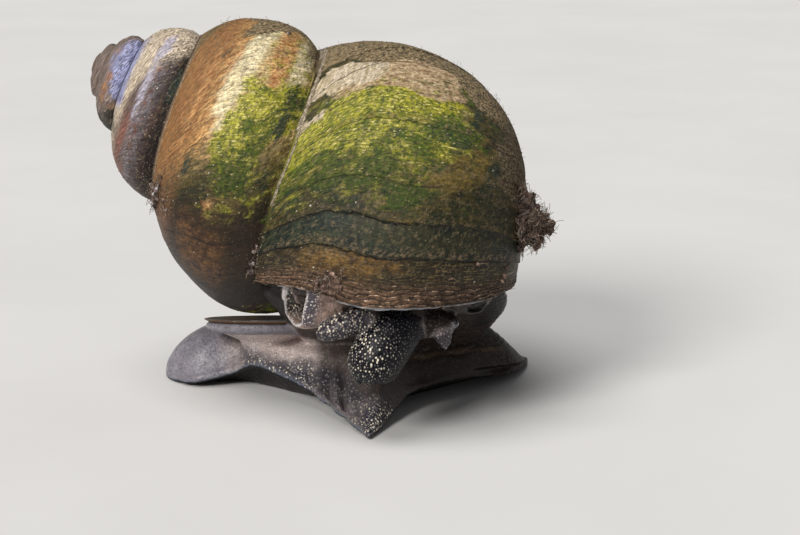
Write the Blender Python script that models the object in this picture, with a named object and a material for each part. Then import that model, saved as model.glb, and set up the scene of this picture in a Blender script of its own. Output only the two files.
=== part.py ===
"""Adult river snail of the Danube at life size, crawling, with its shell, foot, head and operculum.

Sizes are in millimetres and become metres when a mesh is made. +Z is up and the floor is Z = 0.
+X runs from the shell's apex to the foot's front, and -Y is the side of the head and the outer lip.
"""

import math

import bmesh
import bpy
import numpy as np

MM = 0.001
GAP = 0.3                      # clearance kept between pieces that touch
ORIGIN = (-8.4, 0.6, 0.0)      # the floor's point under the middle of the snail becomes the origin

# The shell's apex, and the plane of its axis
APEX = np.array([-29.95, 4.93, 32.57])
DIP = math.radians(29.5)       # how far the axis runs down, towards the base
LEAN = math.radians(14.0)      # how far that plane leans back from upright
STEPS = 32                     # sections to a turn
LIP_HEIGHT = 13.0              # how high the lip is over the floor
# Beside its corner the lip arches up, on the near side only: from here to there along Y
LIP_ARCH = dict(rise=1.3, x=-9.2, width=3.8, full=-9.0, none=-4.0)
LIP_WALL = 0.65
COLUMELLA = dict(radius=1.0, start=22.0, end=46.0)

# Turn, the suture's place along the axis and its radius, the widest place's, all from the apex
WHORLS = np.array([
    [-5.0, 0.24, 0.29, 0.53, 0.67],
    [-4.0, 0.77, 1.01, 1.54, 1.92],
    [-3.0, 1.84, 2.21, 3.65, 3.84],
    [-2.0, 4.03, 3.72, 7.97, 6.91],
    [-1.0, 8.54, 7.01, 16.26, 11.90],
    [0.0, 19.39, 11.57, 30.72, 16.46],
    [0.5, 26.11, 13.25, 36.67, 17.66],
])
FIRST_TURN = -4
CORE = 0.30                    # where a section's centre lies, as a share of the widest radius
BASE_FLAT, BASE_FULL = 0.70, 0.88    # depth of a section's base as a share of its top's

# The last whorl and the hollow in it: turn, and how far its outline is drawn out or in
LAST_WHORL = [(-0.10, -0.8)] + [(k / 32, 0.05) for k in range(0, 20)] + [
    (0.65, -0.3), (0.69, -1.2), (0.73, -2.6), (0.77, -4.5)]
HOLLOW = [(0.22, -1.6), (0.25, -0.9)] + [(k / 32, -LIP_WALL) for k in range(9, 20)] + [
    (0.65, -1.4), (0.68, -2.6)]

# The foot, tail to front: near edge x, y and lift, far edge x and y, and the back's rise
FOOT = np.array([
    [-23.5, 6.3, 0.0, -23.4, 8.2, 0.2],
    [-22.4, 4.0, 0.1, -21.5, 11.1, 2.6],
    [-20.1, 2.2, 0.4, -18.5, 13.6, 3.9],
    [-16.5, 2.0, 1.4, -13.5, 14.9, 4.2],
    [-14.1, -0.5, 3.0, -8.5, 15.4, 4.4],
    [-11.5, -3.4, 2.9, -4.0, 15.5, 4.9],
    [-8.8, -5.7, 2.2, 0.5, 15.0, 5.9],
    [-6.6, -8.4, 1.4, 5.0, 14.2, 6.4],
    [-4.5, -11.0, 0.6, 9.3, 12.8, 5.8],
    [-2.8, -13.8, 0.0, 13.1, 10.6, 0.2],
])
FOOT_PLACES = np.linspace(0.0, 1.0, len(FOOT))
# Across the foot, near to far: the share of its rise that the back has
DOME = np.array([
    [0.0, 0.0], [0.04, 0.06], [0.08, 0.28], [0.14, 0.66], [0.22, 0.88], [0.34, 0.98], [0.5, 1.0],
    [0.68, 0.96], [0.8, 0.82], [0.89, 0.5], [0.95, 0.14], [1.0, 0.0],
])
# Along the front edge, near to far: how far it runs ahead of a straight line, and its lift
FRONT_EDGE = np.array([
    [0.0, 0.0, 0.0], [0.1, -0.6, 0.1], [0.23, -1.8, 0.9], [0.32, -1.9, 1.7], [0.44, -0.3, 2.0],
    [0.58, 1.5, 1.9], [0.68, 2.2, 1.5], [0.8, 2.2, 0.9], [0.94, 0.9, 0.3], [1.0, 0.0, 0.0],
])
AHEAD = np.array([0.84, -0.54])
EDGE_THICK = 0.9
# Each part of the foot: where it starts and ends along it, and its rows
FOOT_PARTS = {
    "foot_tail": (0.0, 0.40, 10),
    "foot_middle": (0.411, 0.72, 9),
    "foot_front": (0.731, 1.0, 10),
}
FOOT_COLUMNS = 22

# The neck, from the foot's back up into the lip: centre x and y, height, half width, half depth
NECK = np.array([
    [-0.9, -0.6, 7.4, 9.8, 4.8],
    [-0.9, -2.6, 9.2, 10.7, 5.6],
    [-1.1, -4.9, 10.8, 11.2, 6.1],
    [-1.4, -6.3, 11.9, 11.3, 6.3],
    [-1.7, -7.0, 12.7, 11.0, 6.5],
])

HEAD_MIDDLE, HEAD_HALF = (0.2, -11.3, 10.8), (5.0, 2.7, 1.9)

# Limbs of round section: points along the middle, with the radius at each
SNOUT = [((0.6, -10.8, 11.2), 2.1), ((-0.3, -12.4, 10.3), 2.35), ((-1.4, -13.5, 8.9), 2.5),
         ((-2.4, -14.1, 7.6), 2.45), ((-2.9, -14.4, 6.8), 2.1), ((-3.2, -14.6, 6.3), 1.2)]
MOUTH_MIDDLE, MOUTH_HALF = (-3.3, -14.6, 5.4), (0.35, 1.4, 1.6)
TENTACLE_RIGHT = [((-2.2, -11.7, 11.3), 1.2), ((-4.0, -12.9, 11.0), 1.15), ((-5.8, -13.6, 10.5), 0.98),
                  ((-6.9, -13.9, 10.2), 0.72), ((-7.3, -14.0, 10.1), 0.35)]
TENTACLE_LEFT = [((3.3, -11.5, 11.0), 1.2), ((3.7, -12.0, 9.9), 0.98), ((4.0, -12.3, 8.9), 0.6),
                 ((4.1, -12.4, 8.4), 0.28)]
EYE_RADIUS = 0.45
EYE_RIGHT, EYE_LEFT = (-3.8, -13.55, 12.2), (4.85, -12.5, 10.7)

# Each neck lobe is a gutter: its two ends, its radius, how far its walls stand up, its thickness
LAPPET_RIGHT = dict(start=(-5.3, -12.3, 12.1), end=(-10.5, -12.3, 12.3), wide=1.5, tall=2.2,
                    near=105, far=125, thick=0.65, skew=2.0)
LAPPET_LEFT = dict(start=(5.2, -11.3, 11.9), end=(8.2, -10.8, 12.0), wide=0.9, tall=1.3,
                   near=100, far=100, thick=0.6, skew=0.0)

# The operculum and the lobe under it
OPERCULUM_MIDDLE = (-13.0, 3.0, 6.9)
OPERCULUM_HALF = (6.2, 5.0)
OPERCULUM_SLOPE = -0.21        # it sinks towards the far side
OPERCULUM_THICK = 0.5
LOBE_HALF = (5.9, 4.8)
LOBE_THICK = 0.9

COLOURS = {
    "shell": ((0.30, 0.22, 0.09), 0.45),
    "operculum": ((0.25, 0.12, 0.05), 0.4),
    "flesh": ((0.22, 0.19, 0.17), 0.45),
    "eye": ((0.01, 0.01, 0.01), 0.2),
}


def smooth(xs, ys, x):
    """A smooth curve through the points xs, ys, read at x."""
    slopes = np.gradient(ys, xs, edge_order=2)
    k = np.clip(np.searchsorted(xs, x) - 1, 0, len(xs) - 2)
    h = xs[k + 1] - xs[k]
    t = (x - xs[k]) / h
    rise = (2 * t**3 - 3 * t**2 + 1) * ys[k] + (3 * t**2 - 2 * t**3) * ys[k + 1]
    return rise + h * ((t**3 - 2 * t**2 + t) * slopes[k] + (t**3 - t**2) * slopes[k + 1])


def ease(start, end, x):
    t = np.clip((x - start) / (end - start), 0.0, 1.0)
    return t * t * (3 - 2 * t)


# Meshes and Booleans

def make_object(name, points, faces):
    mesh = bpy.data.meshes.new(name)
    mesh.from_pydata([tuple(p) for p in (np.asarray(points) - ORIGIN) * MM], [], faces)
    obj = bpy.data.objects.new(name, mesh)
    bpy.context.scene.collection.objects.link(obj)
    bm = bmesh.new()
    bm.from_mesh(mesh)
    bmesh.ops.recalc_face_normals(bm, faces=bm.faces)
    bm.to_mesh(mesh)
    bm.free()
    return obj


def combine(obj, others, operation):
    """Join the others to obj or cut them out of it, and remove them."""
    group = bpy.data.collections.new("operands")
    for other in others:
        group.objects.link(other)
    modifier = obj.modifiers.new(operation, "BOOLEAN")
    modifier.operation = operation
    modifier.operand_type = "COLLECTION"
    modifier.collection = group
    bpy.context.view_layer.objects.active = obj
    bpy.ops.object.modifier_apply(modifier=modifier.name)
    for other in others:
        bpy.data.objects.remove(other)
    bpy.data.collections.remove(group)
    keep_largest(obj)
    return obj


def keep_largest(obj):
    """Merge the slivers that a Boolean leaves, and keep the largest closed surface."""
    bm = bmesh.new()
    bm.from_mesh(obj.data)
    bmesh.ops.remove_doubles(bm, verts=bm.verts, dist=0.005 * MM)
    bmesh.ops.triangulate(bm, faces=bm.faces)
    left = set(bm.faces)
    groups = []
    while left:
        found = [left.pop()]
        for face in found:
            near = [f for e in face.edges for f in e.link_faces if f in left]
            left.difference_update(near)
            found.extend(near)
        groups.append(found)
    groups.sort(key=len, reverse=True)
    for group in groups[1:]:
        bmesh.ops.delete(bm, geom=group, context="FACES")
    bm.to_mesh(obj.data)
    bm.free()


def dress(obj, finish):
    colour, roughness = COLOURS[finish]
    material = bpy.data.materials.new(obj.name)
    material.use_nodes = True
    shader = material.node_tree.nodes["Principled BSDF"]
    shader.inputs["Base Color"].default_value = (*colour, 1.0)
    shader.inputs["Roughness"].default_value = roughness
    obj.data.materials.clear()
    obj.data.materials.append(material)
    obj.data.shade_smooth()
    obj.data.set_sharp_from_angle(angle=math.radians(50))


def loft_faces(rows, columns):
    """Faces of closed rings set one after another, with a face at each end."""
    faces = [tuple(range(columns)), tuple(range((rows - 1) * columns, rows * columns))]
    for i in range(rows - 1):
        for j in range(columns):
            k = (j + 1) % columns
            low, high = i * columns, (i + 1) * columns
            faces.append((low + j, low + k, high + k, high + j))
    return faces


# The shell

AXIS = np.array([math.cos(DIP), -math.sin(DIP) * math.sin(LEAN), -math.sin(DIP) * math.cos(LEAN)])
TOP = np.array([math.sin(DIP), math.cos(DIP) * math.sin(LEAN), math.cos(DIP) * math.cos(LEAN)])
NEAR = np.array([0.0, -math.cos(LEAN), math.sin(LEAN)])


def whorl_size(turn):
    return [float(np.exp(smooth(WHORLS[:, 0], np.log(WHORLS[:, k]), turn))) for k in range(1, 5)]


def whorl_outline(turn, angle, grow):
    """Place along the axis and radius of a section's outline: 0 is its widest place, + its top."""
    suture_z, suture_r, wide_z, wide_r = whorl_size(turn)
    centre = CORE * wide_r
    half = wide_r - centre
    top = (wide_z - suture_z) / math.sqrt(1 - ((suture_r - centre) / half) ** 2)
    base = top * (BASE_FLAT + (BASE_FULL - BASE_FLAT) * ease(-0.45, -0.05, turn))
    depth = (top if angle > 0 else base) + grow
    return wide_z - depth * math.sin(angle), centre + (half + grow) * math.cos(angle)


def outline_angle(turn, radius):
    """The angle, above or below the widest place, at which the outline has this radius."""
    wide_r = whorl_size(turn)[3]
    centre = CORE * wide_r
    return math.acos((radius - centre) / (wide_r - centre))


def in_space(turn, z, r):
    way = 2 * math.pi * turn
    return APEX + z * AXIS + r * math.cos(way) * TOP + r * math.sin(way) * NEAR


def spire(name, grow=0.0, strip=8, base=8):
    """The whorls up to turn 0 as one solid: a strip from suture to suture, then the base."""
    last = -FIRST_TURN * STEPS
    open_row = last - STEPS
    points, index = [], {}
    for i in range(last + 1):
        turn = FIRST_TURN + i / STEPS
        next_z, next_r = whorl_size(min(turn + 1, 0.5))[:2]
        start = outline_angle(turn, whorl_size(turn)[1])
        stop = -0.35
        if turn + 1 <= 0.5:
            angles = np.linspace(0, -1.4, 60)
            places = [whorl_outline(turn, a, 0.0) for a in angles]
            stop = angles[np.argmin([math.hypot(z - next_z, r - next_r) for z, r in places])]
        for j in range(strip + 1):
            if j == 0 and i >= STEPS:
                index[i, 0] = index[i - STEPS, strip]
                continue
            z, r = whorl_outline(turn, start + (stop - start) * j / strip, grow)
            if j == strip and i <= open_row:
                z, r = next_z, next_r + 1.2 * grow
            index[i, j] = len(points)
            points.append(in_space(turn, z, r))
        if i < open_row:
            continue
        end = -outline_angle(turn, 0.0)
        for j in range(1, base + 1):
            z, r = whorl_outline(turn, stop + (end - stop) * j / base, grow)
            index[i, strip + j] = len(points)
            points.append(in_space(turn, z, 0.0 if j == base else r))
    tip = len(points)
    points.append(APEX + (0.3 - grow) * AXIS)
    faces = []
    for i in range(last):
        for j in range(strip if i < open_row else strip + base):
            faces.append((index[i, j], index[i, j + 1], index[i + 1, j + 1], index[i + 1, j]))
    faces += [(tip, index[i, 0], index[i + 1, 0]) for i in range(STEPS)]
    faces += [(tip, index[0, j + 1], index[0, j]) for j in range(strip)]
    end_face = [index[last, j] for j in range(strip + base + 1)]
    end_face += [index[i, strip + base] for i in range(last - 1, open_row - 1, -1)]
    end_face += [index[open_row, strip + j] for j in range(base - 1, 0, -1)]
    faces.append(tuple(end_face))
    return make_object(name, points, faces)


def whorl_tube(name, rows, hole, columns=22):
    """A length of the last whorl as a closed tube, kept clear of the axis by the hole's radius."""
    points = []
    for turn, grow in rows:
        wide_r = whorl_size(turn)[3]
        centre = CORE * wide_r
        end = math.acos((hole - centre) / (wide_r - centre + grow))
        for j in range(columns):
            angle = end - 2 * end * j / (columns - 1)
            points.append(in_space(turn, *whorl_outline(turn, angle, grow)))
    return make_object(name, points, loft_faces(len(rows), columns))


def columella():
    points = []
    for place in (COLUMELLA["start"], COLUMELLA["end"]):
        points += [in_space(j / 12, place, COLUMELLA["radius"]) for j in range(12)]
    return make_object("columella", points, loft_faces(2, 12))


def under_lip(reach=24.0, depth=60.0):
    """The space under the lip, which arches up at one place; it cuts the last whorl off."""
    places = np.linspace(-reach, reach, 33)
    points = []
    for x in places:
        arch = LIP_ARCH["rise"] * math.exp(-((x - LIP_ARCH["x"]) / LIP_ARCH["width"]) ** 2)
        points += [(x, -reach, -depth), (x, reach, -depth)]
        for y in places[::-1]:
            points.append((x, y, LIP_HEIGHT + arch * (1 - ease(LIP_ARCH["full"], LIP_ARCH["none"], y))))
    return make_object("under_lip", points, loft_faces(len(places), len(places) + 2))


def build_shell():
    last = whorl_tube("last_whorl", LAST_WHORL, 0.5)
    combine(last, [columella()], "UNION")
    combine(last, [under_lip(), whorl_tube("hollow", HOLLOW, 1.2)], "DIFFERENCE")
    return combine(spire("shell"), [last], "UNION")


def build_mantle():
    """The mantle fills the last whorl's hollow, down to the lip."""
    rows = [(turn, drawn - GAP) for turn, drawn in HOLLOW]
    mantle = whorl_tube("mantle", rows, 1.5)
    return combine(mantle, [under_lip(), spire("inner_wall", GAP)], "DIFFERENCE")


# The foot

def foot_plan(along, across):
    row = [float(smooth(FOOT_PLACES, FOOT[:, k], along)) for k in range(6)]
    near, far = np.array(row[0:2]), np.array(row[3:5])
    ahead = ease(0.7, 1.0, along) * float(smooth(FRONT_EDGE[:, 0], FRONT_EDGE[:, 1], across))
    return near + (far - near) * across + ahead * AHEAD


def foot_under(along, across):
    near_lift = max(float(smooth(FOOT_PLACES, FOOT[:, 2], along)), 0.0)
    front_lift = max(float(smooth(FRONT_EDGE[:, 0], FRONT_EDGE[:, 2], across)), 0.0)
    return max(near_lift * (1 - ease(0.02, 0.22, across)), front_lift * ease(0.86, 1.0, along))


def foot_top(along, across):
    rise = float(smooth(FOOT_PLACES, FOOT[:, 5], along)) * float(smooth(DOME[:, 0], DOME[:, 1], across))
    return foot_under(along, across) + EDGE_THICK + max(rise, 0.0)


def foot_part(name, start, end, rows, grow=0.0):
    """A length of the foot, closed in front and behind by faces across it."""
    points = []
    count = FOOT_COLUMNS
    for i in range(rows + 1):
        along = start + (end - start) * i / rows
        shares = [0.5 - 0.5 * math.cos(math.pi * j / count) for j in range(count + 1)]
        plans = [foot_plan(along, t) for t in shares]
        outward = (plans[0] - plans[-1]) / np.linalg.norm(plans[0] - plans[-1])
        plans[0] = plans[0] + grow * outward
        plans[-1] = plans[-1] - grow * outward
        points += [(*p, foot_top(along, t) + grow) for p, t in zip(plans, shares)]
        lower = list(zip(plans, shares))[::-2]
        points += [(*p, foot_under(along, t) - grow) for p, t in lower]
    columns = len(points) // (rows + 1)
    faces = loft_faces(rows + 1, columns)[2:]
    for low in (0, rows * columns):
        for j in range(0, count, 2):
            under = low + columns - 1 - j // 2
            faces.append((low + j, low + j + 1, low + j + 2, under - 1, under))
    return make_object(name, points, faces)


def foot_grown():
    return foot_part("foot_grown", 0.0, 1.0, 26, GAP)


# The neck and the head

def ring(centre, half, count=28):
    return [(centre[0] + half[0] * math.cos(2 * math.pi * j / count),
             centre[1] + half[1] * math.sin(2 * math.pi * j / count), centre[2]) for j in range(count)]


def neck_form(name, grow=0.0):
    places = np.linspace(0.0, 1.0, len(NECK))
    points = []
    for share in np.linspace(-0.25, 1.0, 9):
        x, y, z, wide, deep = [float(smooth(places, NECK[:, k], share)) for k in range(5)]
        points += ring((x, y, z), (wide + grow, deep + grow))
    return make_object(name, points, loft_faces(9, 28))


def ball(name, middle, half, rows=8, columns=14):
    points = []
    for i in range(1, rows):
        turn = math.pi * i / rows
        centre = (middle[0], middle[1], middle[2] - half[2] * math.cos(turn))
        points += ring(centre, (half[0] * math.sin(turn), half[1] * math.sin(turn)), columns)
    points += [(middle[0], middle[1], middle[2] - half[2]), (middle[0], middle[1], middle[2] + half[2])]
    faces = loft_faces(rows - 1, columns)[2:]
    low, high = len(points) - 2, len(points) - 1
    for j in range(columns):
        k = (j + 1) % columns
        faces += [(low, k, j), (high, (rows - 2) * columns + j, (rows - 2) * columns + k)]
    return make_object(name, points, faces)


def head_form(name, grow=0.0):
    return ball(name, HEAD_MIDDLE, [h + grow for h in HEAD_HALF], 8, 18)


def limb(name, path, grow=0.0, rows=9, columns=14):
    """A round limb along a path, blunt at its end."""
    middles = np.array([p for p, _ in path])
    radii = np.array([r for _, r in path])
    places = np.linspace(0.0, 1.0, len(path))
    shares = np.linspace(0.0, 1.0, rows)
    line = np.array([[float(smooth(places, middles[:, k], s)) for k in range(3)] for s in shares])
    ways = np.gradient(line, axis=0)
    points = []
    for i, share in enumerate(shares):
        way = ways[i] / np.linalg.norm(ways[i])
        side = np.cross(way, (0.0, 0.0, 1.0))
        side /= np.linalg.norm(side)
        up = np.cross(side, way)
        radius = float(smooth(places, radii, share)) + grow
        middle = line[i] + way * grow * (i == rows - 1)
        for j in range(columns):
            turn = 2 * math.pi * j / columns
            points.append(middle + radius * (math.cos(turn) * side + math.sin(turn) * up))
    return make_object(name, points, loft_faces(rows, columns))


def lappet(name, start, end, wide, tall, near, far, thick, skew, rows=7, columns=12):
    """A fold of skin bent into a gutter that runs from start to end, one wall longer than the other."""
    start, end = np.array(start), np.array(end)
    way = (end - start) / np.linalg.norm(end - start)
    side = np.cross(way, (0.0, 0.0, 1.0))
    side /= np.linalg.norm(side)
    up = np.cross(side, way)
    if side[1] > 0:
        side = -side
    points = []
    for i in range(rows):
        share = i / (rows - 1)
        spread = 0.75 + 0.25 * ease(0.0, 0.5, share)
        outer, inner = [], []
        for j in range(columns):
            turn = math.radians(near - (near + far) * j / (columns - 1))
            reach = share * (1 - skew / np.linalg.norm(end - start) * ease(-0.2, 1.0, math.sin(turn)))
            middle = start + (end - start) * reach
            for row, drawn in ((outer, 0.0), (inner, thick)):
                across = (wide * spread - drawn) * math.sin(turn) * side
                row.append(middle + across - (tall * spread - drawn) * math.cos(turn) * up)
        points += outer + inner[::-1]
    return make_object(name, points, loft_faces(rows, 2 * columns))


def oval_plate(name, middle, half, slope, thick, grow=0.0, columns=28):
    """A plate with a rounded rim, tilted about X; its upper face is at the middle's height."""
    rings = ((0.6, 0.0), (0.9, 0.06), (1.0, 0.5), (0.9, 0.94), (0.6, 1.0))
    points = []
    for size, depth in rings:
        for j in range(columns):
            turn = 2 * math.pi * j / columns
            x = (half[0] * size + grow) * math.cos(turn)
            y = (half[1] * size + grow) * math.sin(turn)
            drop = depth * thick + grow * (2 * depth - 1)
            points.append((middle[0] + x, middle[1] + y, middle[2] + slope * y - drop))
    return make_object(name, points, loft_faces(len(rings), columns))


def head_and_neck_grown():
    return [head_form("head_grown", GAP), neck_form("neck_grown", GAP)]


def build_flesh():
    parts = [combine(foot_part(name, *ends), [operculum_form("plate", GAP)], "DIFFERENCE")
             for name, ends in FOOT_PARTS.items()]
    neck = neck_form("neck")
    combine(neck, [foot_grown(), spire("inner_wall", GAP), operculum_form("plate", GAP)], "DIFFERENCE")
    head = combine(head_form("head"), [neck_form("neck_grown", GAP), foot_grown()], "DIFFERENCE")
    parts += [neck, head]

    snout = limb("snout", SNOUT, rows=10, columns=18)
    cutters = head_and_neck_grown() + [ball("mouth", MOUTH_MIDDLE, MOUTH_HALF)]
    parts.append(combine(snout, cutters, "DIFFERENCE"))
    for side, path, eye in (("right", TENTACLE_RIGHT, EYE_RIGHT), ("left", TENTACLE_LEFT, EYE_LEFT)):
        cutters = head_and_neck_grown() + [limb("snout_grown", SNOUT, GAP)]
        parts.append(combine(limb("tentacle_" + side, path), cutters, "DIFFERENCE"))
        eye_ball = ball("eye_" + side, eye, [EYE_RADIUS] * 3, 8, 12)
        cutters = head_and_neck_grown() + [limb("tentacle_grown", path, GAP)]
        parts.append(combine(eye_ball, cutters, "DIFFERENCE"))
    for side, sizes in (("right", LAPPET_RIGHT), ("left", LAPPET_LEFT)):
        cutters = head_and_neck_grown() + [spire("inner_wall", GAP)]
        cutters += [limb("tentacle_grown", path, GAP) for path in (TENTACLE_RIGHT, TENTACLE_LEFT)]
        parts.append(combine(lappet("lappet_" + side, **sizes), cutters, "DIFFERENCE"))
    lobe_middle = np.array(OPERCULUM_MIDDLE) - (0, 0, OPERCULUM_THICK + GAP)
    lobe = oval_plate("opercular_lobe", lobe_middle, LOBE_HALF, OPERCULUM_SLOPE, LOBE_THICK)
    parts.append(combine(lobe, [foot_grown(), neck_form("neck_grown", GAP)], "DIFFERENCE"))
    return parts


def operculum_form(name, grow=0.0):
    return oval_plate(name, OPERCULUM_MIDDLE, OPERCULUM_HALF, OPERCULUM_SLOPE, OPERCULUM_THICK, grow)


def main():
    for old in list(bpy.data.objects):
        bpy.data.objects.remove(old)
    for part in build_flesh():
        dress(part, "eye" if part.name.startswith("eye") else "flesh")
    dress(build_mantle(), "flesh")
    dress(build_shell(), "shell")
    dress(operculum_form("operculum"), "operculum")


main()
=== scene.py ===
import math

import bmesh
import bpy
import numpy as np
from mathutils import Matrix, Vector


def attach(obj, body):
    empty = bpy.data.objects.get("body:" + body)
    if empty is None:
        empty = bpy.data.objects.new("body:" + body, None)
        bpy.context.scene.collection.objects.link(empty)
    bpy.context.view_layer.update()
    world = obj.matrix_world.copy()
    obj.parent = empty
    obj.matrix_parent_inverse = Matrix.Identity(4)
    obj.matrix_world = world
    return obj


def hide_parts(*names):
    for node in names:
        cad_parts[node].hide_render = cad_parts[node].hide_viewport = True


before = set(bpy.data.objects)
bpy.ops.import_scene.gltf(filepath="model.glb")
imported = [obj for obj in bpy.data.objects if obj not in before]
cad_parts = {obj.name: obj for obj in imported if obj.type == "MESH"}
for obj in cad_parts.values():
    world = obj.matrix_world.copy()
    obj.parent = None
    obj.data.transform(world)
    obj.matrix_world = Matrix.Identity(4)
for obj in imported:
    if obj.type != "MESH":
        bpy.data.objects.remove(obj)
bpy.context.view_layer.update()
print("frame loaded")

mm = 0.001
# The forms are drawn in millimetres from the point of the floor under the camera's aim
aimInRow = np.array([8.4, -0.6, 0.0])


def toRow(points):
    return (np.asarray(points, float) + aimInRow) * mm


def smoothCurve(xs, ys, x):    # a smooth curve through the points xs, ys, read at x
    xs, ys, x = np.asarray(xs, float), np.asarray(ys, float), np.asarray(x, float)
    slopes = np.gradient(ys, xs, edge_order=2)
    k = np.clip(np.searchsorted(xs, x) - 1, 0, len(xs) - 2)
    h = xs[k + 1] - xs[k]
    t = (x - xs[k]) / h
    rise = (2 * t**3 - 3 * t**2 + 1) * ys[k] + (3 * t**2 - 2 * t**3) * ys[k + 1]
    return rise + h * ((t**3 - 2 * t**2 + t) * slopes[k] + (t**3 - t**2) * slopes[k + 1])


def alongRows(table, share):    # a smooth curve through evenly spaced rows, read at shares of its length
    table = np.asarray(table, float)
    places = np.linspace(0, 1, len(table))
    columns = [smoothCurve(places, column, share) for column in table.reshape(len(table), -1).T]
    return np.stack(columns, -1).reshape(np.shape(share) + table.shape[1:])


def ease(start, end, x):
    t = np.clip((np.asarray(x, float) - start) / (end - start), 0.0, 1.0)
    return t * t * (3 - 2 * t)


def fade(start, end, x):    # from 1 at the start to 0 at the end
    return 1 - ease(start, end, x)


def between(value, low, high, soft):
    return ease(low - soft, low + soft, value) * fade(high - soft, high + soft, value)


def bell(value, middle, reach):    # 1 at the middle, fading out past the reach
    return np.exp(-((value - middle) / reach) ** 2)


def softNoise(points, size, seed, lattice=24):    # from -1 to 1, in soft lumps of that size
    values = np.random.default_rng(seed).uniform(-1, 1, (lattice,) * 3)
    places = np.asarray(points, float) / size
    whole = np.floor(places).astype(int)
    part = ease(0, 1, places - whole)
    total = np.zeros(len(places))
    for corner in np.ndindex(2, 2, 2):
        i, j, k = ((whole + corner) % lattice).T
        total += np.prod(np.where(corner, part, 1 - part), axis=1) * values[i, j, k]
    return total


# Camera, light and floor
view = {
    "aim": (0.0, 0.0, 12.8),
    "elevation": 14.0,
    "distance": 192.0,
    "lens": 90.0,
    "sensor": 36.0,
}


def addCamera():
    data = bpy.data.cameras.new("camera")
    data.lens, data.sensor_width = view["lens"], view["sensor"]
    data.clip_start, data.clip_end = 0.01, 5.0
    camera = bpy.data.objects.new("camera", data)
    bpy.context.scene.collection.objects.link(camera)
    rise = math.radians(view["elevation"])
    back = np.array([0.0, -math.cos(rise), math.sin(rise)]) * view["distance"]
    camera.location = toRow(np.array(view["aim"]) + back)
    camera.rotation_euler = (math.radians(90) - rise, 0, 0)
    bpy.context.scene.camera = camera


addCamera()
print("camera set")


# Node trees that shape meshes
def newTree(kind, name, inputs, result, resultKind):
    tree = bpy.data.node_groups.new(name, kind)
    for label, inputKind, value in inputs:
        socket = tree.interface.new_socket(label, in_out="INPUT", socket_type="NodeSocket" + inputKind)
        if value is not None:
            socket.default_value = value
    tree.interface.new_socket(result, in_out="OUTPUT", socket_type="NodeSocket" + resultKind)
    return tree, tree.nodes.new("NodeGroupInput").outputs, tree.nodes.new("NodeGroupOutput").inputs[0]


def newShapeTree(name, inputs):
    inputs = [("Geometry", "Geometry", None), *inputs, ("Material", "Material", None)]
    return newTree("GeometryNodeTree", name, inputs, "Geometry", "Geometry")


def addNode(tree, kind, settings=None, **inputs):
    # an input may be a value or the socket that feeds it; a name such as _1 means the input's number
    node = tree.nodes.new(kind)
    for key, value in (settings or {}).items():
        setattr(node, key, value)
    for key, value in inputs.items():
        socket = node.inputs[int(key[1:])] if key.startswith("_") else node.inputs[key.replace("_", " ")]
        if isinstance(value, bpy.types.NodeSocket):
            tree.links.new(value, socket)
        elif value is not None:
            socket.default_value = value
    return node


def treeOf(*values):    # the tree that the values' sockets are in
    return next(value.id_data for value in values if isinstance(value, bpy.types.NodeSocket))


def calc(operation, *values):
    inputs = {f"_{number}": value for number, value in enumerate(values)}
    return addNode(treeOf(*values), "ShaderNodeMath", {"operation": operation}, **inputs).outputs[0]


def times(first, *others):
    for other in others:
        first = calc("MULTIPLY", first, other)
    return first


def timesPlus(value, factor, rest):
    return calc("MULTIPLY_ADD", value, factor, rest)


def larger(a, b):
    return calc("MAXIMUM", a, b)


def lessOne(value):    # what a value leaves of one
    return calc("SUBTRACT", 1.0, value)


def readAttribute(tree, name):
    return addNode(tree, "GeometryNodeInputNamedAttribute", {"data_type": "FLOAT"},
        Name=name).outputs["Attribute"]


def finishTree(given, end, geometry):
    tree = end.id_data
    whole = addNode(tree, "GeometryNodeRealizeInstances", Geometry=geometry)
    dressed = addNode(tree, "GeometryNodeSetMaterial", Geometry=whole.outputs[0],
        Material=given["Material"])
    tree.links.new(dressed.outputs[0], end)
    return tree


def runTree(obj, tree, values):
    # runs a tree on an object, and leaves the result as the object's plain mesh
    modifier = obj.modifiers.new(tree.name, "NODES")
    modifier.node_group = tree
    for item in tree.interface.items_tree:
        if item.item_type == "SOCKET" and item.in_out == "INPUT" and item.name in values:
            modifier[item.identifier] = values[item.name]
    bpy.context.view_layer.update()
    graph = bpy.context.evaluated_depsgraph_get()
    made = bpy.data.meshes.new_from_object(obj.evaluated_get(graph))
    obj.modifiers.clear()
    old = obj.data
    obj.data = made
    bpy.data.meshes.remove(old)
    made.name = obj.name
    return obj


def newMesh(name, points, faces):
    mesh = bpy.data.meshes.new(name)
    mesh.from_pydata(np.asarray(points, float).tolist(), [], faces)
    obj = bpy.data.objects.new(name, mesh)
    bpy.context.scene.collection.objects.link(obj)
    return obj


def faceOut(obj, merge=0.0):    # merges doubles, then turns every face outwards
    bm = bmesh.new()
    bm.from_mesh(obj.data)
    if merge:
        bmesh.ops.remove_doubles(bm, verts=bm.verts, dist=merge)
    bmesh.ops.recalc_face_normals(bm, faces=bm.faces)
    bm.to_mesh(obj.data)
    bm.free()


def newSolid(name, points, faces):    # a closed form, drawn in millimetres
    obj = newMesh(name, toRow(points), faces)
    faceOut(obj)
    return obj


def applyModifier(obj, kind, **settings):
    modifier = obj.modifiers.new(kind.lower(), kind)
    for key, value in settings.items():
        setattr(modifier, key, value)
    bpy.context.view_layer.objects.active = obj
    bpy.ops.object.modifier_apply(modifier=modifier.name)


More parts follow.
